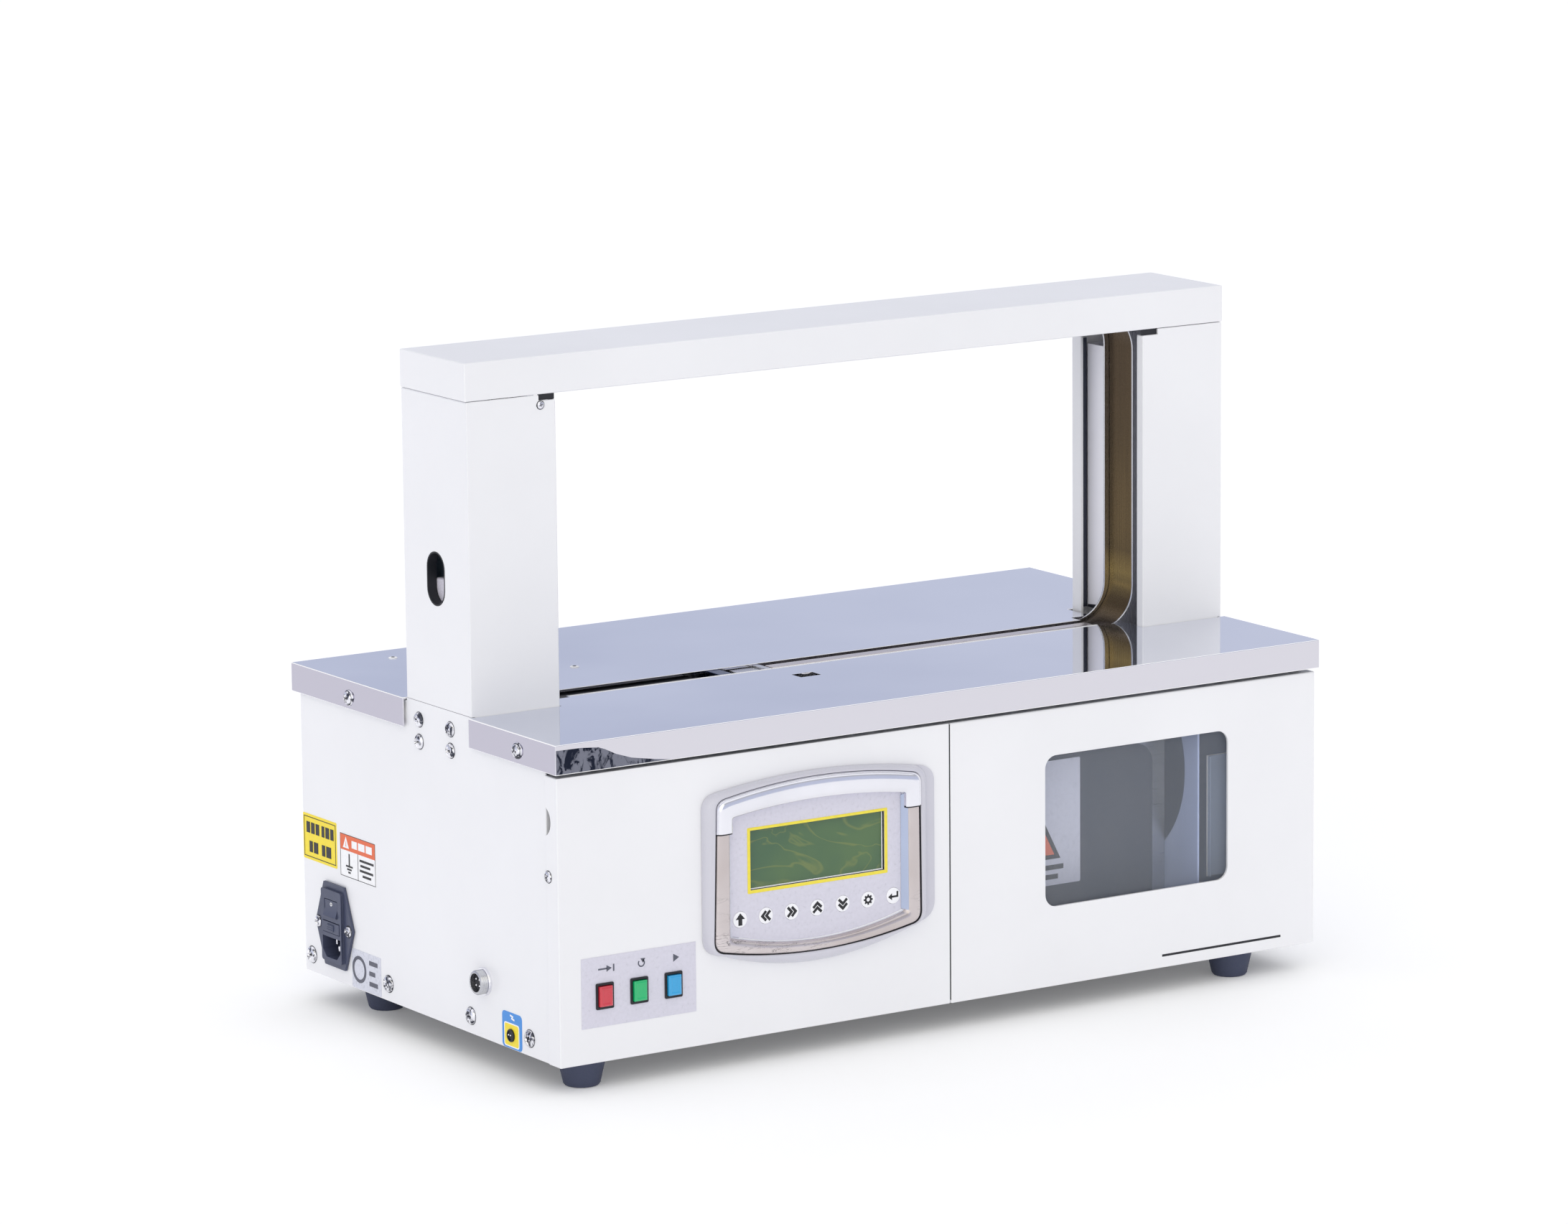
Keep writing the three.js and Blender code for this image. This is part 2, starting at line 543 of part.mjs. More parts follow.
// Window door on a piano hinge at its right edge
function door() {
  const g = assembly();
  const { front, right, sheet } = BODY;
  const x = [SEAM + 0.4, right + 0.8];
  const opening = roundedRectangle(WINDOW.x, WINDOW.z, WINDOW.corner);
  part(g, "window_door", cut(coverPan(x, COVER_DEPTH), prism("y", opening, [0, 12], 5)), FINISH.paint);
  const border = 8;
  const paneOutline = roundedRectangle(
    [WINDOW.x[0] - border, WINDOW.x[1] + border],
    [WINDOW.z[0] - border, WINDOW.z[1] + border],
    WINDOW.corner,
  );
  const back = front + sheet + GAP;
  part(g, "window_pane", prism("y", paneOutline, [back, back + WINDOW.pane], 4), FINISH.pane);

  const { radius, knuckles } = HINGE;
  const height = (HINGE.z[1] - HINGE.z[0]) / knuckles;
  const leafX = [x[1] + GAP, x[1] + GAP + 1];
  const barrels = (wanted) =>
    Array.from({ length: knuckles }, (_, i) => i)
      .filter((i) => i % 2 === wanted)
      .map((i) => [HINGE.z[0] + i * height + 0.2, HINGE.z[0] + (i + 1) * height - 0.2]);
  function leaf(name, wanted, y, material) {
    const reach = [Math.min(y[0], HINGE.y), Math.max(y[1], HINGE.y)];
    const solids = barrels(wanted).map((z) =>
      join(rod("z", HINGE.x, HINGE.y, radius, z, 16), block(leafX, reach, z)));
    const strip = block(leafX, y, HINGE.z);
    const whole = join(strip, ...solids);
    const pin = rod("z", HINGE.x, HINGE.y, 0.9, [HINGE.z[0] + 0.5, HINGE.z[1] - 0.5], 10);
    const bore = rod("z", HINGE.x, HINGE.y, 1.2, [0, 300], 12);
    part(g, name, wanted ? cut(whole, bore) : join(whole, pin), material);
  }
  leaf("hinge_leaf_fixed", 0, [HINGE.y + radius + GAP, HINGE.y + 12], FINISH.brushedSteel);
  leaf("hinge_leaf_door", 1, [HINGE.y - 12, HINGE.y - radius - GAP], FINISH.brushedSteel);
}

// Electrical fittings on the left side and inside
function electrics() {
  const g = assembly();
  const face = BODY.left - GAP;
  const { y, z, waist, ends, height } = INLET;
  const hexagon = polygon(
    [y - ends / 2, z - height / 2], [y + ends / 2, z - height / 2], [y + waist / 2, z],
    [y + ends / 2, z + height / 2], [y - ends / 2, z + height / 2], [y - waist / 2, z],
  );
  const halfWidth = 13;
  const proud = 4;
  const rocker = { y: [y - 9, y + 9], z: [z + 6.4, z + 18.4] };
  const drawer = { y: [y - 11.5, y + 11.5], z: [z - 5, z + 3] };
  const socket = polygon(
    [y - 12, z - 8], [y + 12, z - 8], [y + 12, z - 17.5],
    [y + 7, z - 22.5], [y - 7, z - 22.5], [y - 12, z - 17.5],
  );
  const inlet = cut(
    join(
      prism("x", hexagon, [face - 2, face]),
      block([face - proud, 45], [y - halfWidth, y + halfWidth], [z - 24.6, z + 24.6]),
    ),
    block([-20, 30], rocker.y, rocker.z),
    block([-20, 38], drawer.y, drawer.z),
    prism("x", socket, [-20, face + 17]),
  );
  part(g, "power_inlet", inlet, FINISH.black);

  // The rocker tips about an axis near its face, and its back is a half cylinder round that axis
  const tip = { x: face - proud + 0.5, radius: 5.7 };
  const rockerOutline = new THREE.Shape();
  rockerOutline.moveTo(0, -tip.radius);
  rockerOutline.absarc(0, 0, tip.radius, -Math.PI / 2, Math.PI / 2);
  rockerOutline.lineTo(-0.6, 5.5);
  rockerOutline.lineTo(-0.5, 0);
  rockerOutline.lineTo(-2.4, -5.4);
  rockerOutline.closePath();
  const rockerBody = prism("y", rockerOutline, [rocker.y[0] + 0.5, rocker.y[1] - 0.5], 16);
  part(g, "power_rocker", rockerBody, FINISH.black, tip.x, 0, (rocker.z[0] + rocker.z[1]) / 2);
  const inside = ([low, high], gap = GAP) => [low + gap, high - gap];
  const drawerBody = cut(
    block([face - proud - 0.8, 36], inside(drawer.y), inside(drawer.z)),
    block([0, 34], inside(drawer.y, 2), [drawer.z[0] + 1.5, z + 20]),
  );
  part(g, "fuse_drawer", drawerBody, FINISH.black);

  const across = (radius, span, sides) => rod("x", CONNECTOR.y, CONNECTOR.z, radius, span, sides);
  const plug = cut(
    join(
      across(CONNECTOR.radius, [BODY.left - CONNECTOR.proud, 20], 28),
      across(CONNECTOR.flange, [BODY.left - 1.9, face], 28),
      across(10, [BODY.left + BODY.sheet + GAP, 9], 6),
    ),
    across(CONNECTOR.bore, [-20, 4], 24),
  );
  part(g, "foot_switch_connector", plug, FINISH.brushedSteel);
}

cabinet();
table();
arch();
track();
sealingHead();
feedUnit();
tapeReel();
bay();
controls();
door();
electrics();

const box = new THREE.Box3().setFromObject(machine);
machine.position.set(-(box.min.x + box.max.x) / 2, -(box.min.y + box.max.y) / 2, -box.min.z);

export default machine;
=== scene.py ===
"""Looks of the table-top banding machine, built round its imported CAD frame."""
import json
from math import copysign, cos, hypot, pi, radians, sin

import bmesh
import bpy
from mathutils import Matrix, Vector
from mathutils.geometry import tessellate_polygon

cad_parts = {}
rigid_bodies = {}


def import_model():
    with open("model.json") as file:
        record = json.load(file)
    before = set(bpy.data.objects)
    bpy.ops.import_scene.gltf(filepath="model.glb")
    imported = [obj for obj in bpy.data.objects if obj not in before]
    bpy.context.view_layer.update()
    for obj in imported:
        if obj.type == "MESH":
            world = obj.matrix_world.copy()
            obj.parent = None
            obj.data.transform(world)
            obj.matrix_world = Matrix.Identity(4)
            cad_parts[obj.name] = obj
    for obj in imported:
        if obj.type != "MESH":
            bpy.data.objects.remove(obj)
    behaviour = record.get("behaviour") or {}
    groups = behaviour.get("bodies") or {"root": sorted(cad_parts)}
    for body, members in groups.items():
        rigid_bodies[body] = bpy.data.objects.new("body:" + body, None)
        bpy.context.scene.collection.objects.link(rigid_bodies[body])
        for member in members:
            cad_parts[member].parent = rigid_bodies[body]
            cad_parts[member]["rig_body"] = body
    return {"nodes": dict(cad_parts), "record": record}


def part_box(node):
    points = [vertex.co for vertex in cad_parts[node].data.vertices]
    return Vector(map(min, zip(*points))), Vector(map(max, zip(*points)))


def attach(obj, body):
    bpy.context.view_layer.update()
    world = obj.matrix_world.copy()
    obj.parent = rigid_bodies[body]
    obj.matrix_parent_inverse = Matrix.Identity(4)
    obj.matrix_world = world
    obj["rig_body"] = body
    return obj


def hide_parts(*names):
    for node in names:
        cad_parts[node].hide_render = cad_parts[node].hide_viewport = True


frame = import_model()
bpy.context.view_layer.update()
NODES = frame["nodes"]
MM = 0.001
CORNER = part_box("table_front_plate")[0]  # the table's left end and front edge


def at(x, y, z):
    """The place of a point given in millimetres from the table's left end, its front edge and the floor."""
    return Vector((CORNER.x + x * MM, CORNER.y + y * MM, z * MM))


def new_object(name, data):
    """An object with that data, linked to the scene."""
    o = bpy.data.objects.new(name, data)
    bpy.context.scene.collection.objects.link(o)
    return o


# ---- camera, light and floor
FOCAL_LENGTH, SENSOR_WIDTH = 158.4, 36.0
EYE_PLACE = (-2.5629, -3.9005, 1.1397)
AZIMUTH, TILT, ROLL = radians(-33.10), radians(10.64), radians(-0.53)


def camera():
    """The photo's camera, as fitted to the long straight edges."""
    data = bpy.data.cameras.new("camera")
    data.lens, data.sensor_width = FOCAL_LENGTH, SENSOR_WIDTH
    data.clip_start, data.clip_end = 0.1, 200.0
    eye = new_object("camera", data)
    ahead = Vector((-sin(AZIMUTH) * cos(TILT), cos(AZIMUTH) * cos(TILT), -sin(TILT)))
    level = Vector((cos(AZIMUTH), sin(AZIMUTH), 0))
    above = level.cross(ahead)
    right = cos(ROLL) * level + sin(ROLL) * above
    up = -sin(ROLL) * level + cos(ROLL) * above
    pose = Matrix((right, up, -ahead)).transposed().to_4x4()
    pose.translation = Vector(EYE_PLACE)
    eye.matrix_world = pose
    bpy.context.scene.camera = eye


def sun(name, direction, strength, spread, color=(1, 1, 1)):
    """A broad soft light from that direction, equally strong everywhere."""
    data = bpy.data.lights.new(name, "SUN")
    data.energy, data.angle, data.color = strength, radians(spread), color
    new_object(name, data).rotation_euler = (-Vector(direction)).to_track_quat("-Z", "Y").to_euler()


def set_stops(ramp, stops):
    """Gives a new ramp node its (position, colour) stops."""
    elements = ramp.color_ramp.elements
    elements[0].position, elements[0].color = stops[0]
    elements[1].position, elements[1].color = stops[-1]
    for position, color in stops[1:-1]:
        elements.new(position).color = color


def studio():
    """A grey-blue room, a warm light from the front left and a wide one from above."""
    bpy.context.scene.view_settings.view_transform = "Standard"
    world = bpy.data.worlds.new("studio")
    bpy.context.scene.world = world
    world.use_nodes = True
    tree = world.node_tree
    tree.nodes.clear()
    out = tree.nodes.new("ShaderNodeOutputWorld")
    sky = tree.nodes.new("ShaderNodeBackground")
    coordinate = tree.nodes.new("ShaderNodeTexCoord")
    split = tree.nodes.new("ShaderNodeSeparateXYZ")
    ramp = tree.nodes.new("ShaderNodeValToRGB")
    tree.links.new(coordinate.outputs["Generated"], split.inputs[0])
    tree.links.new(split.outputs["Z"], ramp.inputs[0])
    tree.links.new(ramp.outputs[0], sky.inputs["Color"])
    tree.links.new(sky.outputs[0], out.inputs["Surface"])
    set_stops(ramp, [
        (0.0, (0.62, 0.65, 0.79, 1)), (0.10, (0.58, 0.62, 0.765, 1)), (0.26, (0.60, 0.63, 0.76, 1)),
        (0.45, (0.52, 0.53, 0.57, 1)), (1.0, (0.50, 0.50, 0.52, 1))])
    sky.inputs["Strength"].default_value = 1.0
    sun("soft_key", (-0.62, -0.95, 0.42), 0.86, 70, (1.0, 0.955, 0.76))
    sun("soft_left", (-1.0, -0.15, 0.35), 0.20, 70, (0.98, 0.975, 1.0))
    sun("soft_top", (0.1, 0.15, 1.0), 0.97, 100)


def floor():
    """The white ground, which takes the shadow."""
    bpy.ops.mesh.primitive_plane_add(size=60, location=(0, 0, -0.0002))
    plane = bpy.context.object
    plane.name = "floor"
    m = bpy.data.materials.new("floor")
    m.use_nodes = True
    shader = m.node_tree.nodes["Principled BSDF"]
    shader.inputs["Base Color"].default_value = (0.96, 0.96, 0.96, 1)
    shader.inputs["Roughness"].default_value = 0.75
    shader.inputs["Emission Color"].default_value = (1, 1, 1, 1)
    shader.inputs["Emission Strength"].default_value = 0.13
    plane.data.materials.append(m)


camera()
studio()
floor()


# ---- materials
def rgb(r, g, b):
    """A colour given as it shows on a screen, from 0 to 255, in linear light."""
    return tuple(((c / 255 + 0.055) / 1.055) ** 2.4 if c > 10 else c / 255 / 12.92 for c in (r, g, b)) + (1,)


def grey(value):
    return (value, value, value, 1)


BLACK, WHITE = grey(0), grey(1)
MATERIALS = {}


class Nodes:
    """A new material, kept in MATERIALS by its look, with short ways to build its node tree."""

    def __init__(self, name, look=None):
        self.material = bpy.data.materials.new(name)
        MATERIALS[look or name] = self.material
        self.material.use_nodes = True
        self.tree = self.material.node_tree
        self.shader = self.tree.nodes["Principled BSDF"]
        self.place = self.add("ShaderNodeTexCoord").outputs["Object"]

    def add(self, kind, **settings):
        node = self.tree.nodes.new(kind)
        for key, value in settings.items():
            setattr(node, key, value)
        return node

    def link(self, a, b):
        self.tree.links.new(a, b)

    def stretched(self, scale):
        m = self.add("ShaderNodeMapping")
        m.inputs["Scale"].default_value = scale
        self.link(self.place, m.inputs["Vector"])
        return m.outputs[0]

    def noise(self, scale, detail=3.0, stretch=None, rough=0.5, distortion=0.0):
        n = self.add("ShaderNodeTexNoise")
        n.inputs["Scale"].default_value = scale
        n.inputs["Detail"].default_value = detail
        n.inputs["Roughness"].default_value = rough
        n.inputs["Distortion"].default_value = distortion
        self.link(self.stretched(stretch) if stretch else self.place, n.inputs["Vector"])
        return n.outputs["Fac"]

    def ramp(self, value, *stops):
        node = self.add("ShaderNodeValToRGB")
        set_stops(node, stops)
        self.link(value, node.inputs[0])
        return node.outputs[0]

    def axes(self, value):
        """The X, Y and Z of a vector."""
        split = self.add("ShaderNodeSeparateXYZ")
        self.link(value, split.inputs[0])
        return split.outputs

    def normal(self):
        return self.axes(self.add("ShaderNodeNewGeometry").outputs["Normal"])

    def math(self, operation, *values):
        node = self.add("ShaderNodeMath", operation=operation)
        for socket, value in zip(node.inputs, values):
            if isinstance(value, (int, float)):
                socket.default_value = value
            else:
                self.link(value, socket)
        return node.outputs[0]

    def gloss(self, fine, low, high, marked):
        """Roughness that follows the fine lines and goes up by that much at scattered handling marks."""
        marks = self.ramp(self.noise(310, 5, (1, 0.08, 1), 0.7, 1.5), (0.66, BLACK), (0.74, WHITE))
        return self.math("MULTIPLY_ADD", marks, marked, self.spread(fine, low, high))

    def spread(self, value, low, high, start=0.3, end=0.7):
        m = self.add("ShaderNodeMapRange")
        for socket, number in (("From Min", start), ("From Max", end), ("To Min", low), ("To Max", high)):
            m.inputs[socket].default_value = number
        self.link(value, m.inputs["Value"])
        return m.outputs[0]

    def mix(self, factor, a, b):
        m = self.add("ShaderNodeMix", data_type="RGBA")
        if isinstance(factor, (int, float)):
            m.inputs[0].default_value = factor
        else:
            self.link(factor, m.inputs[0])
        for socket, value in ((m.inputs[6], a), (m.inputs[7], b)):
            if isinstance(value, tuple):
                socket.default_value = value
            else:
                self.link(value, socket)
        return m.outputs[2]

    def bump(self, height, distance, strength):
        b = self.add("ShaderNodeBump")
        b.inputs["Strength"].default_value = strength
        b.inputs["Distance"].default_value = distance
        self.link(height, b.inputs["Height"])
        self.link(b.outputs[0], self.shader.inputs["Normal"])

    def set(self, **values):
        for key, value in values.items():
            socket = self.shader.inputs[key.replace("_", " ")]
            if hasattr(value, "is_output"):
                self.link(value, socket)
            else:
                socket.default_value = value


def shade(color, factor):
    return tuple(c * factor for c in color[:3]) + (1,)


def painted(name, color, rough=0.34, grain=1400, depth=0.00002, peel_strength=0.35):
    """Powder coat: an orange-peel skin, faint clouds in its colour, and gloss that varies a little."""
    n = Nodes(name)
    clouds = n.noise(9, 4)
    peel = n.noise(grain, 2)
    n.bump(peel, depth, peel_strength)
    tint = n.mix(n.spread(clouds, 0, 1), shade(color, 0.965), color)
    n.set(Base_Color=tint, Roughness=n.spread(peel, rough - 0.05, rough + 0.08), Coat_Weight=0.15,
          Coat_Roughness=0.12)


def satin(name, color, rough, depth=0.000004, peel_strength=0.1):
    """A smoother paint, for the small parts and the inside."""
    painted(name, color, rough, 900, depth, peel_strength)


def metal(name, color, rough=0.2, along="x", lines=0.12, depth=0.000004):
    """Rolled or brushed metal: fine lines along one axis, with scattered handling marks."""
    n = Nodes(name)
    stretch = {"x": (0.02, 1, 1), "y": (1, 0.02, 1), "z": (1, 1, 0.02), None: (1, 1, 1)}[along]
    fine = n.noise(2600, 3, stretch)
    broad = n.noise(24, 4)
    n.bump(fine, depth, 0.5)
    body = n.mix(n.spread(broad, 0, 1), shade(color, 0.93), color)
    rolled = n.mix(n.spread(fine, 0, lines), body, shade(color, 0.75))
    n.set(Base_Color=rolled, Metallic=1.0, Roughness=n.gloss(fine, rough * 0.8, rough * 1.25, 0.06))


def polished():
    """Polished plate with painted light: bluish on top with a painted reflection that goes lighter from left
    to right, painted greyer on the skirts and greyer still at the ends as shade, painted white at the bends
    as a highlight, with fine handling marks.
    """
    n = Nodes("polished_steel")
    normal = n.normal()
    # masks for the end faces and the front skirt, which are painted darker as shade
    end_face_shade_mask, front_face_shade_mask = (n.spread(n.math("ABSOLUTE", normal[axis]), 0, 1, 0.6, 0.9) for axis in "XY")
    broad = n.noise(5, 3)
    # painted reflection: the top is darker at the left and lighter at the right
    painted_darker_top = n.mix(n.spread(broad, 0, 1), rgb(206, 210, 224), rgb(226, 229, 239))
    painted_lighter_top = n.mix(n.spread(broad, 0, 1), rgb(228, 230, 238), rgb(238, 239, 245))
    top = n.mix(n.spread(n.axes(n.place)["X"], 0, 1, -0.22, 0.24), painted_darker_top, painted_lighter_top)
    flat = n.mix(front_face_shade_mask, n.mix(end_face_shade_mask, top, rgb(194, 191, 204)), rgb(216, 214, 221))
    # painted highlight: the bends are white and not metallic
    bend = n.math("COMPARE", n.math("ABSOLUTE", normal["Z"]), 0.62, 0.33)
    fine = n.noise(2600, 3, (0.02, 1, 1))
    n.bump(fine, 0.0000008, 0.5)
    n.set(Base_Color=n.mix(bend, flat, WHITE), Metallic=n.spread(bend, 1.0, 0.0),
          Roughness=n.gloss(fine, 0.036, 0.056, 0.05))


def pan_paint():
    """White paint with painted shade underneath: the downward faces are dark grey, to deepen the shadow under
    the machine.
    """
    n = Nodes("pan_paint")
    under = n.spread(n.normal()["Z"], 1, 0, -0.9, -0.6)
    # painted shade for the downward faces
    painted_underside_shade = n.mix(n.noise(60, 4), rgb(52, 54, 60), rgb(66, 68, 74))
    n.bump(n.noise(900, 3), 0.00001, 0.3)
    n.set(Base_Color=n.mix(under, rgb(238, 238, 241), painted_underside_shade), Roughness=0.5)


def chrome_painted_room_reflection(name, light, dark, scale, rough):
    """Chrome with a painted reflection of a room in light and dark patches, for pieces too small to mirror
    the studio.
    """
    n = Nodes(name)
    patches = n.noise(scale, 4, (1, 1, 0.6), 0.55, 0.8)
    # painted reflection in the base colour
    painted_room_reflection = n.mix(n.ramp(patches, (0.44, BLACK), (0.50, grey(0.12)), (0.58, WHITE)), light, dark)
    n.set(Base_Color=painted_room_reflection, Metallic=1.0, Roughness=n.spread(patches, rough, rough + 0.05))


def plastic(name, color, rough=0.4, grain=2200, depth=0.000015, coat=0.0, vary=0.9):
    """Moulded plastic or rubber: a fine spark-eroded grain and a slight cloud in its colour."""
    n = Nodes(name)
    grainy = n.noise(grain, 3, rough=0.7)
    cloud = n.noise(30, 3)
    n.bump(grainy, depth, 0.4)
    n.set(Base_Color=n.mix(n.spread(cloud, 0, 1), shade(color, vary), color),
          Roughness=n.spread(grainy, rough - 0.06, rough + 0.08), Coat_Weight=coat, Coat_Roughness=0.08)


def printed(name, color, rough=0.42):
    """Ink or vinyl film: nearly even, with a faint mottle."""
    n = Nodes(name)
    mottle = n.noise(420, 4)
    n.set(Base_Color=n.mix(n.spread(mottle, 0, 1), shade(color, 0.93), color),
          Roughness=n.spread(mottle, rough - 0.04, rough + 0.06))


def display_glass():
    """Green glass of the display, with the faint yellow swirls of its film."""
    n = Nodes("display_glass", "display")
    warp = n.noise(10, 3, (1, 1, 2.2), 0.5, 1.6)
    lines = n.ramp(warp, (0.40, BLACK), (0.455, BLACK), (0.47, WHITE), (0.485, BLACK), (0.60, BLACK),
                   (0.615, grey(0.8)), (0.63, BLACK))
    cloud = n.noise(22, 2)
    green = n.mix(n.spread(cloud, 0, 1), rgb(50, 90, 62), rgb(76, 108, 62))
    n.set(Base_Color=n.mix(n.math("MULTIPLY", lines, 0.38), green, rgb(140, 144, 66)),
          Roughness=n.spread(cloud, 0.16, 0.24), Coat_Weight=0.5, Coat_Roughness=0.05)


def clear_pane():
    """Clear acrylic: see-through, faintly blue, with a mirror-like surface."""
    n = Nodes("clear_pane", "window_plastic")
    smears = n.noise(14, 4, (1, 1, 0.5), 0.6, 0.8)
    n.set(Base_Color=n.mix(n.spread(smears, 0, 1), rgb(205, 214, 228), rgb(222, 228, 238)),
          Roughness=n.spread(smears, 0.02, 0.06), Alpha=0.09)
    n.material.use_transparent_shadow = True


def warm_chrome():
    """Lower chrome of the bezel, with a painted reflection of a brownish floor: a brownish tint and thin dark
    wavering lines.
    """
    n = Nodes("warm_chrome")
    wave = n.noise(46, 4, (0.35, 1, 2.1), 0.55, 2.4)
    # painted reflection: thin dark wavering lines
    lines = n.ramp(wave, (0.44, BLACK), (0.487, BLACK), (0.497, WHITE), (0.507, BLACK))
    cloud = n.noise(18, 3)
    body = n.mix(n.spread(cloud, 0, 1), rgb(196, 186, 184), rgb(216, 208, 208))
    reflection_line_fade = n.math("MULTIPLY", lines, n.spread(cloud, 0.0, 0.85, 0.45, 0.62))
    n.set(Base_Color=n.mix(reflection_line_fade, body, rgb(70, 62, 66)), Metallic=0.85, Roughness=n.spread(cloud, 0.2, 0.3))


def bronze():
    """Dark bronze of the track, brushed both ways, with a painted golden highlight at the foot of the posts.
    """
    n = Nodes("bronze_track")
    up = n.noise(1500, 3, (1, 1, 0.01))
    across = n.noise(1500, 3, (0.01, 1, 1))
    fine = n.mix(0.5, up, across)
    broad = n.noise(9, 3)
    height = n.spread(n.axes(n.place)["Z"], 0, 1, 0.23, 0.46)
    # painted highlight: a golden band low on the posts, set by height
    painted_golden_highlight = n.ramp(height, (0.0, BLACK), (0.08, grey(0.10)), (0.16, grey(0.62)), (0.23, grey(0.15)),
                  (0.6, grey(0.06)), (1.0, BLACK))
    dark = n.mix(n.spread(broad, 0, 1), rgb(64, 52, 42), rgb(82, 67, 50))
    color = n.mix(painted_golden_highlight, dark, rgb(192, 162, 92))
    streaked = n.mix(n.spread(fine, 0, 0.45), color, rgb(46, 36, 30))
    n.bump(fine, 0.000005, 0.4)
    n.set(Base_Color=streaked, Metallic=1.0, Roughness=n.spread(fine, 0.2, 0.34))


def materials():
    painted("white_paint", rgb(240, 240, 243))
    polished()
    metal("steel", rgb(200, 201, 206), 0.26, "z")
    bronze()
    pan_paint()
    metal("blue_steel", rgb(70, 82, 112), 0.3, "z")
    metal("aluminium", rgb(198, 200, 206), 0.34, "x", 0.25)
    satin("grey_paint", rgb(38, 43, 60), 0.6, 0.000002, 0.02)
    satin("light_grey_paint", rgb(168, 182, 222), 0.22)
    satin("bracket_paint", rgb(244, 243, 250), 0.16)
    plastic("panel_plastic", rgb(206, 205, 215), 0.3, coat=0.3, vary=0.97)
    display_glass()
    clear_pane()
    plastic("rubber", rgb(60, 66, 90), 0.62, 900, 0.00003)
    plastic("black_plastic", rgb(70, 76, 100), 0.4)
    metal("brass", rgb(204, 172, 104), 0.24, "y")
    plastic("key_plastic", rgb(246, 246, 250), 0.4, vary=0.98)
    plastic("red_lens", rgb(206, 50, 66), 0.22, coat=0.6, vary=0.92)
    plastic("green_lens", rgb(8, 184, 110), 0.22, coat=0.6, vary=0.92)
    plastic("blue_lens", rgb(42, 164, 222), 0.22, coat=0.6, vary=0.92)
    metal("chrome", rgb(238, 238, 244), 0.12, None, 0.02, 0.0000005)
    # screws: chrome with a painted reflection
    chrome_painted_room_reflection("screw_chrome", rgb(236, 236, 242), rgb(72, 74, 84), 300, 0.12)
    # a darker bluish chrome: painted shade for the bezel ring's right inner wall
    metal("blue_chrome", rgb(182, 192, 216), 0.14, None, 0.02, 0.0000005)
    # dark painted reflection, for the film on the front plate's skirt
    chrome_painted_room_reflection("smoked_chrome", rgb(120, 122, 134), rgb(34, 38, 52), 190, 0.16)
    warm_chrome()
    printed("overlay", rgb(216, 214, 227), 0.3)
    printed("black_ink", rgb(24, 24, 30))
    printed("grey_ink", rgb(88, 90, 104))
    printed("white_ink", rgb(250, 250, 252))
    printed("yellow_ink", rgb(250, 226, 44), 0.35)
    printed("frame_yellow", rgb(244, 226, 70), 0.35)
    printed("orange_ink", rgb(232, 104, 56), 0.35)
    printed("blue_ink", rgb(64, 144, 224), 0.35)
    printed("silver_film", rgb(214, 216, 228), 0.28)
    printed("pale_film", rgb(212, 214, 232), 0.3)
    satin("bracket_blue", rgb(170, 184, 212), 0.3)
    satin("slate", rgb(104, 122, 138), 0.5)
    satin("pale_catch", rgb(232, 228, 240), 0.25)
    satin("bay_blue", rgb(110, 128, 176), 0.5)
    plastic("dark_gap", rgb(22, 24, 32), 0.5)
    plastic("timing_rubber", rgb(34, 36, 44), 0.6, 1200, 0.00003)


materials()


# ---- CAD nodes
record_slot = {s["node"]: s["material_slot"] for s in frame["record"]["subparts"]}
LOOK = {**record_slot, "timing_belt": "timing_rubber", "left_track_bracket": "bracket_paint",
        "right_track_bracket": "bracket_paint", "base_pan": "pan_paint"}


def dress(node, look):
    """Gives a CAD node its material, welded faces, fine rounded edges and even shading."""
    o = NODES[node]
    o.data.materials.clear()
    o.data.materials.append(MATERIALS[look])
    o.data.polygons.foreach_set("use_smooth", [True] * len(o.data.polygons))
    weld = o.modifiers.new("weld", "WELD")
    weld.merge_threshold = 0.000002
    bevel = o.modifiers.new("edges", "BEVEL")
    bevel.width, bevel.segments, bevel.limit_method = 0.00025, 2, "ANGLE"
    bevel.angle_limit = radians(32)
    o.modifiers.new("shading", "WEIGHTED_NORMAL").keep_sharp = True


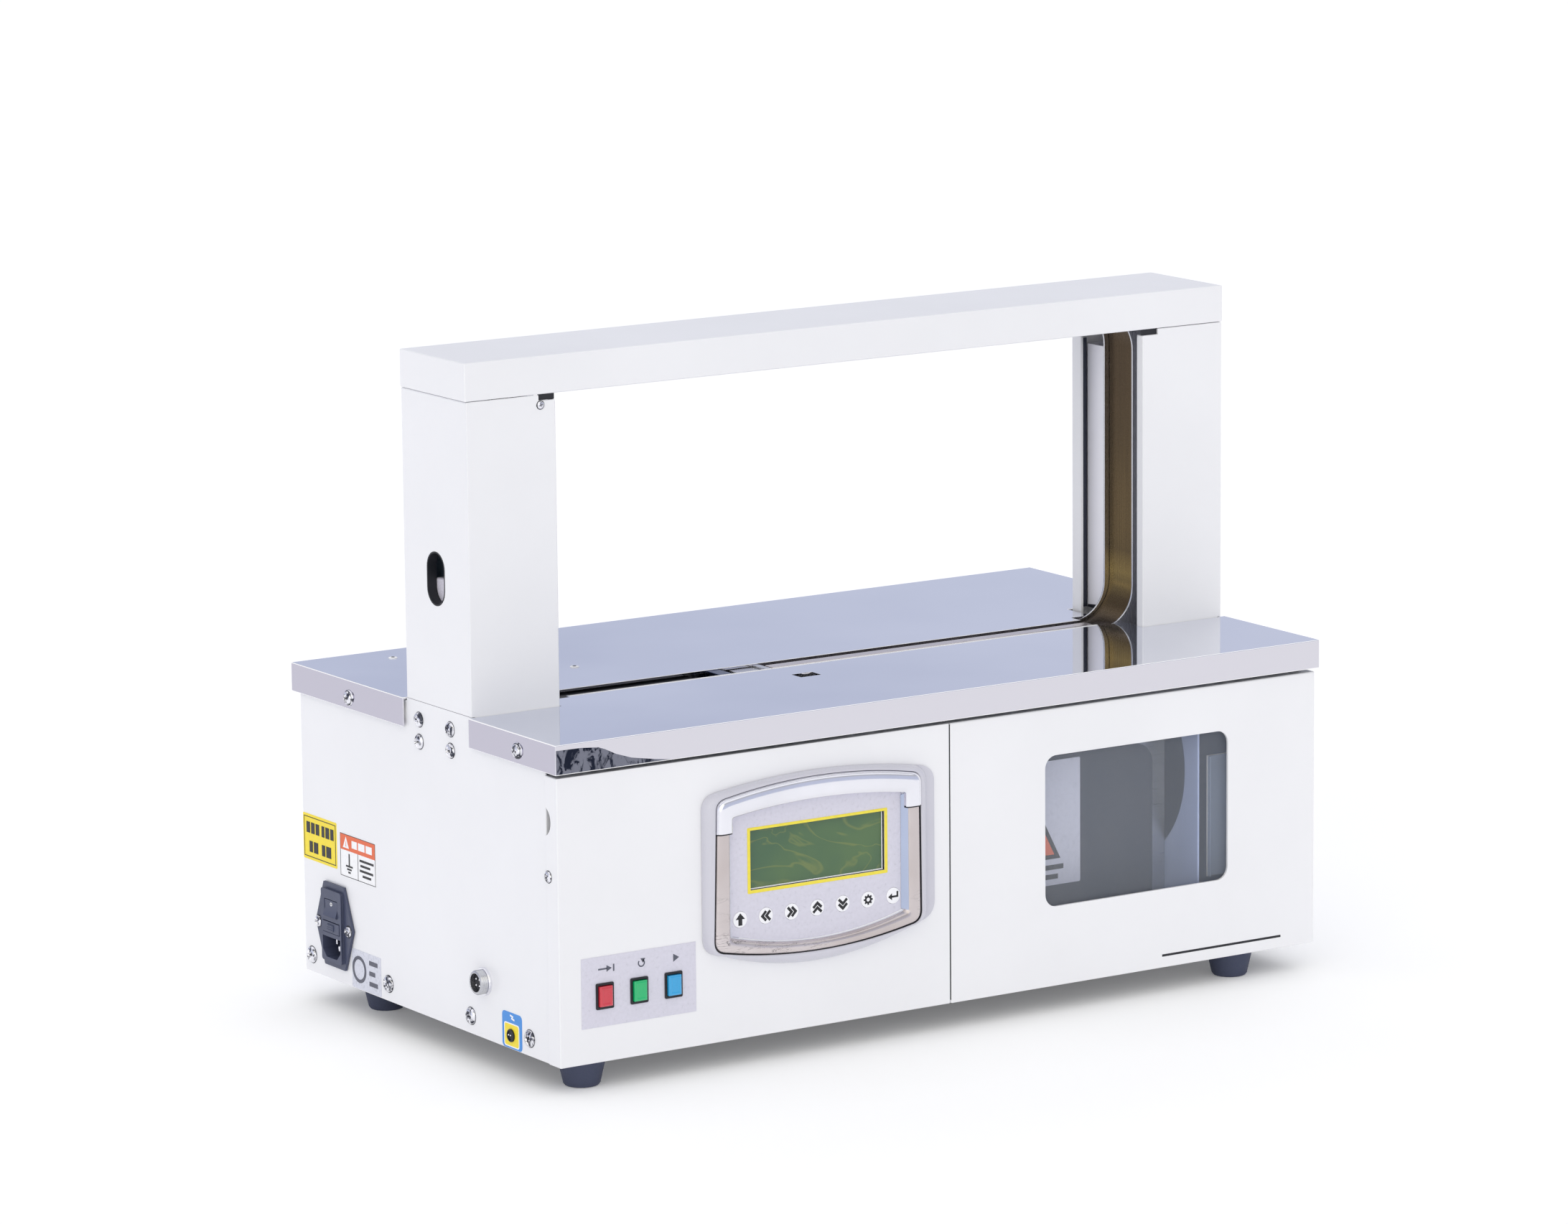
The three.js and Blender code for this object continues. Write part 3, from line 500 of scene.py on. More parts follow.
def folded(node, radius):
    """Puts a copy in a sheet-metal node's place, with edges bent to that radius, in millimetres."""
    source = NODES[node]
    mesh = bpy.data.meshes.new(node + "_bent")
    bm = bmesh.new()
    bm.from_mesh(source.data)
    bmesh.ops.remove_doubles(bm, verts=bm.verts, dist=0.000002)
    bmesh.ops.dissolve_limit(bm, angle_limit=radians(0.5), verts=bm.verts, edges=bm.edges)
    bm.normal_update()
    weight = bm.edges.layers.float.new("bevel_weight_edge")
    wide = 2.6 * radius * MM

    def reach(face, edge):
        a, b = (v.co for v in edge.verts)
        along = (b - a).normalized()
        return max(((v.co - a) - (v.co - a).dot(along) * along).length for v in face.verts)

    for e in bm.edges:
        if len(e.link_faces) != 2 or e.calc_face_angle(0) < radians(25) or not e.is_convex:
            continue
        bent = e.calc_length() > wide and all(reach(f, e) > wide for f in e.link_faces)
        e[weight] = 1.0 if bent else 0.18 / radius
    bm.to_mesh(mesh)
    bm.free()
    if "custom_normal" in mesh.attributes:
        mesh.attributes.remove(mesh.attributes["custom_normal"])
    o = new_object(node + "_bent", mesh)
    mesh.materials.clear()
    mesh.materials.append(MATERIALS[LOOK[node]])
    mesh.polygons.foreach_set("use_smooth", [True] * len(mesh.polygons))
    bevel = o.modifiers.new("bends", "BEVEL")
    bevel.width, bevel.segments, bevel.limit_method = radius * MM, 4, "WEIGHT"
    bevel.use_clamp_overlap = True
    o.modifiers.new("shading", "WEIGHTED_NORMAL").keep_sharp = True
    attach(o, source["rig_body"])
    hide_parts(node)
    return o


# each sheet-metal node's bend radius, in millimetres
BEND = {
    "table_front_plate": 1.6, "table_rear_plate": 1.6, "control_cover": 1.5, "window_door": 1.5,
    "left_post": 1.1, "right_post": 1.1, "arch_beam": 1.1, "left_side_panel": 1.0, "right_side_panel": 1.0,
    "rear_cover": 0.6, "bay_divider": 0.6, "belt_guard": 0.6, "left_track_bracket": 0.6,
    "right_track_bracket": 0.6,
}
for cad_node in NODES:
    if cad_node in BEND:
        folded(cad_node, BEND[cad_node])
    elif cad_node != "panel_bezel":  # the bezel_rim stands for it
        dress(cad_node, LOOK[cad_node])


# ---- mesh kit
# Each piece is drawn as seen from outside one face, in millimetres: u to the right, v up, n towards the eye.
VIEWS = {
    "front": lambda u, v, n: at(u, -n, v),
    "left": lambda u, v, n: at(-n, -u, v),
    "right": lambda u, v, n: at(n, u, v),
    "back": lambda u, v, n: at(-u, n, v),
    "top": lambda u, v, n: at(u, v, n),
    "bottom": lambda u, v, n: at(u, -v, -n),
}


class Piece:
    """A mesh drawn on one face of the machine."""

    def __init__(self, face):
        self.view = VIEWS[face]
        self.verts, self.faces = [], []

    def loops(self, rings, closed=True, cap_first=True, cap_last=True):
        """Joins rings of (u, v, n) points one after another, from the back to the front."""
        start, count = len(self.verts), len(rings[0])
        for ring in rings:
            self.verts += [self.view(*p) for p in ring]
        for k in range(len(rings) - 1):
            a, b = start + k * count, start + (k + 1) * count
            for i in range(count if closed else count - 1):
                j = (i + 1) % count
                self.faces.append((a + i, a + j, b + j, b + i))
        if cap_first:
            self.faces.append(tuple(reversed(range(start, start + count))))
        if cap_last:
            last = start + (len(rings) - 1) * count
            self.faces.append(tuple(range(last, last + count)))
        return self

    def slab(self, outline, low, high, chamfer=0.0):
        """A flat piece with that outline, anticlockwise, from n = low to high, with a broken front edge."""
        rings = [[(u, v, low) for u, v in outline], [(u, v, high - chamfer) for u, v in outline]]
        if chamfer:
            rings.append([(u, v, high) for u, v in inset(outline, chamfer)])
        return self.loops(rings)

    def sheet(self, outline, holes, low, high):
        """A flat piece with holes."""
        rings = [outline] + [list(reversed(h)) for h in holes]
        flat = [[Vector((u, v, 0)) for u, v in ring] for ring in rings]
        points = [p for ring in rings for p in ring]
        total, start = len(points), len(self.verts)
        for n in (low, high):
            self.verts += [self.view(u, v, n) for u, v in points]
        for tri in tessellate_polygon(flat):
            a, b, c = (points[i] for i in tri)
            turn = (b[0] - a[0]) * (c[1] - a[1]) - (b[1] - a[1]) * (c[0] - a[0])
            if abs(turn) < 1e-9:
                continue
            tri = tri if turn > 0 else tuple(reversed(tri))
            self.faces.append(tuple(start + total + i for i in tri))
            self.faces.append(tuple(start + i for i in reversed(tri)))
        offset = start
        for ring in rings:
            k = len(ring)
            for i in range(k):
                j = (i + 1) % k
                self.faces.append((offset + i, offset + j, offset + total + j, offset + total + i))
            offset += k
        return self

    def turned(self, centre, profile, sides=32):
        """A turned piece: profile is (radius, n) from the back to the front."""
        return self.loops([[(u, v, n) for u, v in circle(*centre, r, sides)] for r, n in profile])

    def screw(self, centre, radius, base, height, turn=0.5):
        """A pan-head screw with a cross recess, standing on n = base."""
        rings, sides = 11, 40
        rim, skirt, recess = 0.25, 0.2, 0.75 * height
        arm_half, arm_end, arm_slope = 0.17 * radius, 0.60 * radius, 0.14 * radius
        start = len(self.verts)

        def level(x, y):
            r = hypot(x, y)
            dome = height * (1 - (r / radius) ** 2.6) ** 0.55 if r < radius else 0.0
            c, s = cos(turn), sin(turn)
            a, b = abs(x * c + y * s), abs(y * c - x * s)
            near, far = min(a, b), max(a, b)
            arm = max(0.0, 1 - (near / arm_half) ** 4) if near < arm_half else 0.0
            end = max(0.0, min(1.0, (arm_end - far) / arm_slope))
            return dome - recess * arm * end

        self.verts.append(self.view(*centre, base + level(0, 0)))
        for k in range(1, rings + 1):
            r = radius * (k / rings) ** 0.85
            for i in range(sides):
                x, y = r * cos(2 * pi * i / sides), r * sin(2 * pi * i / sides)
                self.verts.append(self.view(centre[0] + x, centre[1] + y, base + rim + level(x, y)))
        self.verts += [self.view(u, v, base - skirt) for u, v in circle(*centre, radius, sides)]
        for i in range(sides):
            j = (i + 1) % sides
            self.faces.append((start, start + 1 + i, start + 1 + j))
            for k in range(rings):
                a, b = start + 1 + k * sides, start + 1 + (k + 1) * sides
                self.faces.append((a + i, b + i, b + j, a + j))
        last = start + 1 + rings * sides
        self.faces.append(tuple(reversed(range(last, last + sides))))
        return self

    def make(self, name, look, body="machine", smooth=35.0, bevel=0.0):
        """The object, riding on that body. smooth is the angle, in degrees, up to which faces blend."""
        mesh = bpy.data.meshes.new(name)
        mesh.from_pydata(self.verts, [], self.faces)
        mesh.materials.append(MATERIALS[look])
        o = new_object(name, mesh)
        if bevel:
            m = o.modifiers.new("edges", "BEVEL")
            m.width, m.segments, m.limit_method, m.angle_limit = bevel * MM, 3, "ANGLE", radians(35)
        if smooth:
            mesh.shade_smooth()
            mesh.set_sharp_from_angle(angle=radians(smooth))
            if bevel:
                o.modifiers.new("shading", "WEIGHTED_NORMAL").keep_sharp = True
        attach(o, body)
        return o


def inset(outline, by):
    """An anticlockwise outline moved inwards."""
    out, k = [], len(outline)
    for i in range(k):
        a, b, c = (Vector(outline[(i + d) % k]) for d in (-1, 0, 1))
        p, q = (b - a).normalized(), (c - b).normalized()
        m = Vector((-p.y - q.y, p.x + q.x))
        m = m / max(m.length_squared / 2, 0.25)
        out.append((b.x + m.x * by, b.y + m.y * by))
    return out


def rounded(u0, u1, v0, v1, r, steps=6):
    """An anticlockwise rectangle with round corners."""
    out = []
    corners = ((u1 - r, v0 + r, -90), (u1 - r, v1 - r, 0), (u0 + r, v1 - r, 90), (u0 + r, v0 + r, 180))
    for cu, cv, start in corners:
        for i in range(steps + 1):
            a = radians(start + 90 * i / steps)
            out.append((cu + r * cos(a), cv + r * sin(a)))
    return out


def box(u0, u1, v0, v1):
    return [(u0, v0), (u1, v0), (u1, v1), (u0, v1)]


def circle(u, v, r, sides=28):
    return [(u + r * cos(2 * pi * i / sides), v + r * sin(2 * pi * i / sides))
            for i in range(sides)]


def stroke(points, width):
    """The outline of a bent line of that width."""
    left, right = [], []
    for i, p in enumerate(points):
        p = Vector(p)
        before = (p - Vector(points[i - 1])).normalized() if i else None
        after = (Vector(points[i + 1]) - p).normalized() if i < len(points) - 1 else None
        d = ((before or after) + (after or before)).normalized()
        k = 1 / max(d.dot(after or before), 0.35)
        side = Vector((-d.y, d.x)) * width / 2 * k
        left.append(tuple(p + side))
        right.append(tuple(p - side))
    return right + left[::-1]


def moved(outline, u, v):
    return [(u + a, v + b) for a, b in outline]


# ---- screws and bolts
LEFT_FACE, RIGHT_FACE, SKIRT_LEFT, SKIRT_RIGHT = -3.0, 617.0, 0.0, 620.0


class Screws:
    """Pan-head screws on one face, each on a dark ring of painted shadow and with a dark cross of painted
    shade at the bottom of its recess.
    """

    def __init__(self, face):
        self.heads, self.shadows = Piece(face), Piece(face)

    def add(self, centre, radius, base, height, turn):
        self.heads.screw(centre, radius, base, height, turn)
        # painted shadow: a dark ring round the foot of the head
        shadow_ring_radius = radius + 0.4
        profile = [(shadow_ring_radius, base - 0.15), (shadow_ring_radius, base + 0.1), (0.8 * radius, base + 0.12)]
        self.shadows.turned(centre, profile, 32)
        # painted shade: a dark cross at the bottom of the recess
        wide, long = 0.12 * radius, 0.56 * radius
        arms = [(long, -wide), (long, wide), (wide, wide), (wide, long), (-wide, long), (-wide, wide),
                (-long, wide), (-long, -wide), (-wide, -wide), (-wide, -long), (wide, -long), (wide, -wide)]
        c, s = cos(turn), sin(turn)
        cross = [(centre[0] + x * c - y * s, centre[1] + x * s + y * c) for x, y in arms]
        self.shadows.slab(cross, base + 0.1, base + 0.25 + 0.31 * height)
        return self

    def washer(self, centre, radius, base, thick):
        profile = [(radius, base - 0.2), (radius, base + thick - 0.4), (radius - 0.4, base + thick)]
        self.heads.turned(centre, profile, 32)

    def make(self, name):
        self.heads.make(name, "screw_chrome", smooth=50)
        self.shadows.make(name + "_recesses", "dark_gap", smooth=0)


def screws():
    """Every screw, bolt and washer, as (u, v) places on each face."""
    pan = [41.9, 117.5, 226.8, 331.9]
    post = [(179.0, 222.4), (179.0, 207.4), (138.0, 222.6), (138.0, 208.2)]
    skirt = [(268.3, 223.0), (47.1, 224.0)]
    faces = ((-1, "left", LEFT_FACE, SKIRT_LEFT), (1, "right", RIGHT_FACE, SKIRT_RIGHT))
    for side, name, panel, table in faces:
        group = Screws(name)
        for i, y in enumerate(pan):
            group.add((side * y, 31.8), 5.8, panel, 2.6, 0.4 + i)
        group.make("pan_screws_" + name)
        group = Screws(name)
        for i, (y, z) in enumerate(post):
            group.add((side * y, z), 5.0, panel, 2.6, 1.1 + 0.7 * i)
        group.make("post_bolts_" + name)
        group = Screws(name)
        for i, (y, z) in enumerate(skirt):
            group.washer((side * y, z), 5.6, table, 0.9)
            group.add((side * y, z), 4.7, table + 0.9, 1.9, 0.3 + i)
        group.make("skirt_screws_" + name)
    group = Screws("back")
    for i, u in enumerate((-590, -450, -310, -170, -30)):
        for j, v in enumerate((30, 222)):
            group.add((u, v), 4.2, 341.0, 1.9, 0.5 + i + j)
    group.make("rear_cover_screws")
    Screws("front").add((59.5, 438.0), 2.7, -110.0, 1.2, 0.4).make("post_screw_front")
    Screws("left").add((-14.2, 145.6), 3.9, -2.2, 1.6, 0.7).make("cover_screw")
    group = Screws("left")
    for i, c in enumerate([(-317.8, 58.6), (-276.8, 58.6)]):
        group.add(c, 4.0, -0.7, 2.0, 0.6 + i)
    group.make("inlet_screws")
    group = Screws("back")
    for u in (-598, -22):
        group.add((u, 457.5), 3.6, 194.7, 1.6, 0.8)
        group.add((u - copysign(30, u + 310), 438), 3.6, 195.0, 1.6, 0.3)
    group.make("arch_screws_back")
    p = Piece("bottom")
    for x, y in ((33, 27), (563, 27), (33, 283), (563, 283)):
        p.turned((x, -y), [(5.4, -6.0), (5.4, -1.4), (4.8, -0.9)], 28)
    p.make("foot_washers", "steel", smooth=40)


screws()


# ---- control panel
def arched(x0, x1, z0, z1, sag, crown, r, flare=0.0):
    """A loop with straight sides, a sagging bottom and a crowned top, always of the same number of points."""
    out = []

    def curve(a, b, c, steps):
        for i in range(steps):
            t = i / steps
            out.append(tuple((1 - t) ** 2 * p + 2 * t * (1 - t) * q + t * t * s for p, q, s in zip(a, b, c)))

    mid = (x0 + x1) / 2
    left, right = x0 - flare, x1 + 0.35 * flare
    curve((left + r, z0), (mid, z0 - 2 * sag), (right - r, z0), 28)
    curve((right - r, z0), (right, z0 + 0.12 * r), (right, z0 + r), 8)
    curve((right, z0 + r), ((right + x1) / 2, (z0 + z1) / 2), (x1, z1 - 0.8 * r), 20)
    curve((x1, z1 - 0.8 * r), (x1, z1), (x1 - r, z1 + 0.1 * r), 8)
    curve((x1 - r, z1 + 0.1 * r), (mid, z1 + 2 * crown), (x0 + r, z1 + 0.1 * r), 28)
    curve((x0 + r, z1 + 0.1 * r), (x0, z1), (x0, z1 - 0.8 * r), 8)
    curve((x0, z1 - 0.8 * r), ((left + x0) / 2, (z0 + z1) / 2), (left, z0 + r), 20)
    curve((left, z0 + r), (left, z0 + 0.12 * r), (left + r, z0), 8)
    return out


RIM = arched(112.3, 288.7, 78.5, 187.5, 13.0, 6.4, 13)
SHOULDER = arched(113.6, 296.6, 80.0, 186.2, 12.0, 6.0, 14)  # stands out past the rim on the right
CHROME = arched(119.8, 281.6, 80.5, 184.6, 7.2, 7.0, 9, 2.4)
OVERLAY = arched(132.6, 268.4, 90.6, 171.0, 9.2, 5.0, 1.6)


def between(a, b, s):
    return [((1 - s) * p[0] + s * q[0], (1 - s) * p[1] + s * q[1]) for p, q in zip(a, b)]


def lofted(name, outer, inner, profile, look, part=None):
    """A band between two matching loops: profile is (share of the way in, n), part an open band's points."""
    p = Piece("front")
    sections = [[(u, v, n) for u, v in between(outer, inner, s)] for s, n in profile]
    count = len(outer)
    index = list(range(count)) if part is None else [i % count for i in range(*part)]
    start = len(p.verts)
    for i in index:
        p.verts += [p.view(*section[i]) for section in sections]
    k, m = len(sections), len(index)
    for a in range(m if part is None else m - 1):
        b = (a + 1) % m
        for j in range(k):
            jj = (j + 1) % k
            p.faces.append((start + a * k + j, start + b * k + j, start + b * k + jj, start + a * k + jj))
    if part is not None:
        p.faces.append(tuple(range(start, start + k)))
        p.faces.append(tuple(reversed(range(start + (m - 1) * k, start + m * k))))
    return p.make(name, look, smooth=40)


KEY_X = [140 + 20.3 * i for i in range(7)]
KEY_Z = 101.3
KEY_NAMES = ["key_up", "key_left", "key_right", "key_page_up", "key_page_down", "key_set", "key_enter"]
TAB = 162.0  # height at which the upper chrome band's tabs end
RIGHT_SIDE, LOWER_SIDE = (35, 57), (1, 34)  # points of a loop along those sides


def bezel():
    """The panel's rim, its silver bed, and the chrome bands above and below the keys and display."""
    rim = lofted("bezel_rim", RIM, CHROME, [
        (0.0, -2.3), (0.0, 0.2), (0.10, 1.9), (0.28, 3.5), (0.50, 4.6), (0.72, 5.2), (0.90, 5.2), (1.0, 4.6),
        (1.05, 3.2), (1.10, 1.8), (1.10, -2.3)], "panel_plastic")
    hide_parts("panel_bezel")
    Piece("front").sheet(SHOULDER, [CHROME], -2.45, -0.9).make(
        "bezel_shoulder", "panel_plastic", smooth=40, bevel=0.5)
    lofted("bezel_bed", CHROME, OVERLAY, [
        (-0.05, -2.3), (-0.05, 2.2), (0.975, 2.2), (0.975, -2.3)], "silver_film")
    # painted shade: a dark line in the valley between the rim and the chrome
    lofted("bezel_gap_line", CHROME, OVERLAY, [
        (-0.07, 2.0), (-0.07, 4.7), (0.03, 4.7), (0.03, 2.0)], "dark_gap")
    lofted("bezel_chrome_lower", CHROME, OVERLAY, [
        (0.04, 1.8), (0.06, 4.2), (0.12, 5.2), (0.24, 5.8), (0.42, 6.0), (0.62, 5.9), (0.74, 5.4),
        (0.80, 4.8), (0.96, 1.4), (0.96, 0.8)], "warm_chrome")
    # painted shade: the ring's inner wall on the right is a darker, bluish chrome
    lofted("bezel_inner_wall", CHROME, OVERLAY, [
        (0.78, 5.0), (0.80, 5.5), (0.88, 4.6), (1.03, 1.0), (1.01, 0.7)], "blue_chrome", RIGHT_SIDE)
    # painted highlight: the ring's inner lip along the bottom is white
    lofted("bezel_lower_lip", CHROME, OVERLAY, [
        (0.93, 0.8), (0.93, 1.9), (0.96, 2.1), (1.0, 1.5), (1.01, 0.8)], "white_ink", LOWER_SIDE)
    # the upper band lies over the ring from tab to tab
    shared = [max(a[1], b[1]) for a, b in zip(CHROME, OVERLAY)]
    above = [i for i, height in enumerate(shared) if height >= TAB]
    profile = [(0.0, 3.4), (0.015, 5.6), (0.05, 6.4), (0.09, 6.15), (0.125, 6.9), (0.2, 7.5), (0.45, 7.7),
               (0.72, 7.5), (0.86, 6.9), (0.93, 6.0), (0.93, 2.4)]
    raised = [[(u, max(v, TAB)) for u, v in ring] for ring in (CHROME, OVERLAY)]
    lofted("bezel_chrome_upper", *raised, profile, "chrome", (above[0] - 1, above[-1] + 2))
    edge = [(s, n - 0.25) for s, n in profile]
    lowered = [[(u, max(v, TAB - 0.9)) for u, v in ring] for ring in (CHROME, OVERLAY)]
    for name, first in (("left", above[-1]), ("right", above[0] - 2)):
        lofted("bezel_tab_shadow_" + name, *lowered, edge, "dark_gap", (first, first + 4))


def overlay_and_display():
    """The printed overlay, with the display's window and room for the keys, and the display behind it."""
    window = box(148.4, 255.0, 119.9, 160.2)
    p = Piece("front")
    p.sheet(between(CHROME, OVERLAY, 0.985), [window] + [circle(x, KEY_Z, 5.62) for x in KEY_X], 0.2, 0.75)
    p.make("keypad_overlay", "overlay")
    Piece("front").sheet(rounded(146.2, 257.3, 117.7, 162.1, 0.7), [window], 0.75, 1.0).make(
        "display_frame", "frame_yellow")
    Piece("front").sheet(box(147.2, 256.2, 118.7, 161.4), [window], -2.15, 0.18).make(
        "display_well", "dark_gap")
    Piece("front").slab(box(148.0, 255.4, 119.5, 160.6), -2.15, -1.7).make(
        "display_cover", "display", smooth=0, bevel=0.1)
    # painted highlights: white lines along the glass's right and lower edges
    p = Piece("front")
    p.slab(box(254.1, 254.6, 120.8, 159.6), -1.75, -0.9, 0.1)
    p.slab(box(148.8, 254.6, 120.1, 120.8), -1.75, -0.6, 0.1)
    p.make("display_glass_edge", "white_ink")


def key_icons():
    """Arrows and chevrons on the keys, with a gear for the settings key and a return arrow."""
    low, high = 1.02, 1.2
    across, gear_sides = 1.85, 16

    def chevrons(*lines):
        return [stroke(line, across) for line in lines]

    icons = {
        "key_up": [[(-1.5, -4.0), (1.5, -4.0), (1.5, 0.2), (3.6, 0.2), (0, 4.3), (-3.6, 0.2), (-1.5, 0.2)]],
        "key_left": chevrons([(0.0, 3.2), (-3.0, 0), (0.0, -3.2)], [(3.2, 3.2), (0.2, 0), (3.2, -3.2)]),
        "key_right": chevrons([(-3.2, 3.2), (-0.2, 0), (-3.2, -3.2)], [(0.0, 3.2), (3.0, 0), (0.0, -3.2)]),
        "key_page_up": chevrons([(-3.3, 0.1), (0, 3.2), (3.3, 0.1)], [(-3.3, -3.1), (0, 0.0), (3.3, -3.1)]),
        "key_page_down": chevrons([(-3.3, 3.1), (0, 0), (3.3, 3.1)], [(-3.3, -0.1), (0, -3.2), (3.3, -0.1)]),
        "key_enter": [stroke([(3.2, 2.8), (3.2, -0.6), (-1.6, -0.6)], 1.3),
                      [(-4.2, -0.6), (-1.2, -2.9), (-1.2, 1.7)]],
    }
    for name, x in zip(KEY_NAMES, KEY_X):
        p = Piece("front")
        for shape in icons.get(name, []):
            p.slab(moved(shape, x, KEY_Z), low, high)
        if name == "key_set":
            teeth = [(cos(a) * r, sin(a) * r) for k in range(8) for a, r in (
                (radians(45 * k - 9), 3.6), (radians(45 * k + 9), 3.6),
                (radians(45 * k + 15), 2.7), (radians(45 * k + 30), 2.7))]
            p.sheet(moved(teeth, x, KEY_Z), [circle(x, KEY_Z, 1.35, gear_sides)], low, high)
        p.make(name + "_icon", "black_ink", name)


bezel()
overlay_and_display()
key_icons()


# ---- push buttons
def buttons():
    """The plate, frames and clear lenses of the three push buttons."""
    plate_back, plate_front = -2.5, -2.1
    xs, z = (36.2, 62.7, 89.2), 64.0
    holes = [box(x - 6.2, x + 6.2, z - 8.2, z + 8.2) for x in xs]
    Piece("front").sheet(box(18.7, 107.0, 43.5, 90.5), holes, plate_back, plate_front).make(
        "button_plate", "overlay")
    p = Piece("front")
    for x in xs:
        hole = rounded(x - 5.25, x + 5.25, z - 7.25, z + 7.25, 0.6, 3)
        p.sheet(rounded(x - 6.75, x + 6.75, z - 8.75, z + 8.75, 0.9, 3), [hole], plate_front, -1.1)
    p.make("button_frames", "dark_gap", bevel=0.2)
    steps = [(0.0, 0.3), (0.35, 0.75), (0.9, 1.1), (1.5, 1.25), (1.9, 1.15), (2.3, 0.95), (2.6, 0.95)]
    lenses = (("feed_button", "red_lens"), ("reset_button", "green_lens"), ("start_button", "blue_lens"))
    for x, (name, look) in zip(xs, lenses):
        p = Piece("front")
        p.loops([[(u, v, n) for u, v in rounded(x - 4.95 + by, x + 4.95 - by, z - 6.75 + by, z + 6.75 - by,
                                                max(0.9 - by, 0.25), 4)] for by, n in steps])
        p.make(name + "_lens", look, name, smooth=50)
    button_marks(plate_front, 82.0)


def button_marks(plate_front, z):
    """Generic marks where the words are: feed, start over, go."""
    low, high = plate_front - 0.05, plate_front + 0.1
    p = Piece("front")
    p.slab(stroke([(31.6, z), (38.4, z)], 1.1), low, high)
    p.slab([(38.0, z - 2.2), (42.0, z), (38.0, z + 2.2)], low, high)
    p.slab(box(42.9, 44.0, z - 2.4, z + 2.4), low, high)
    bearings = [radians(a) for a in range(-220, 61, 20)]
    arc = [(64.8 + 2.3 * cos(a), z + 2.3 * sin(a)) for a in bearings]
    p.slab(stroke(arc, 0.9), low, high)
    p.slab([(64.1, z + 3.1), (66.0, z - 0.1), (67.8, z + 3.0)], low, high)
    p.slab([(89.4, z - 2.7), (94.0, z), (89.4, z + 2.7)], low, high)
    p.make("button_marks", "grey_ink")


buttons()


# ---- labels on the left side
def bars(piece, u0, u1, v0, v1, count, gap, low, high, widths):
    """Plain bars in place of words, in rows between v0 and v1: widths gives each row's bars as shares."""
    height = (v1 - v0 - gap * (count - 1)) / count
    for i in range(count):
        v = v1 - (i + 1) * height - i * gap
        for a, b in widths[i]:
            piece.slab(box(u0 + a * (u1 - u0), u0 + b * (u1 - u0), v, v + height), low, high)


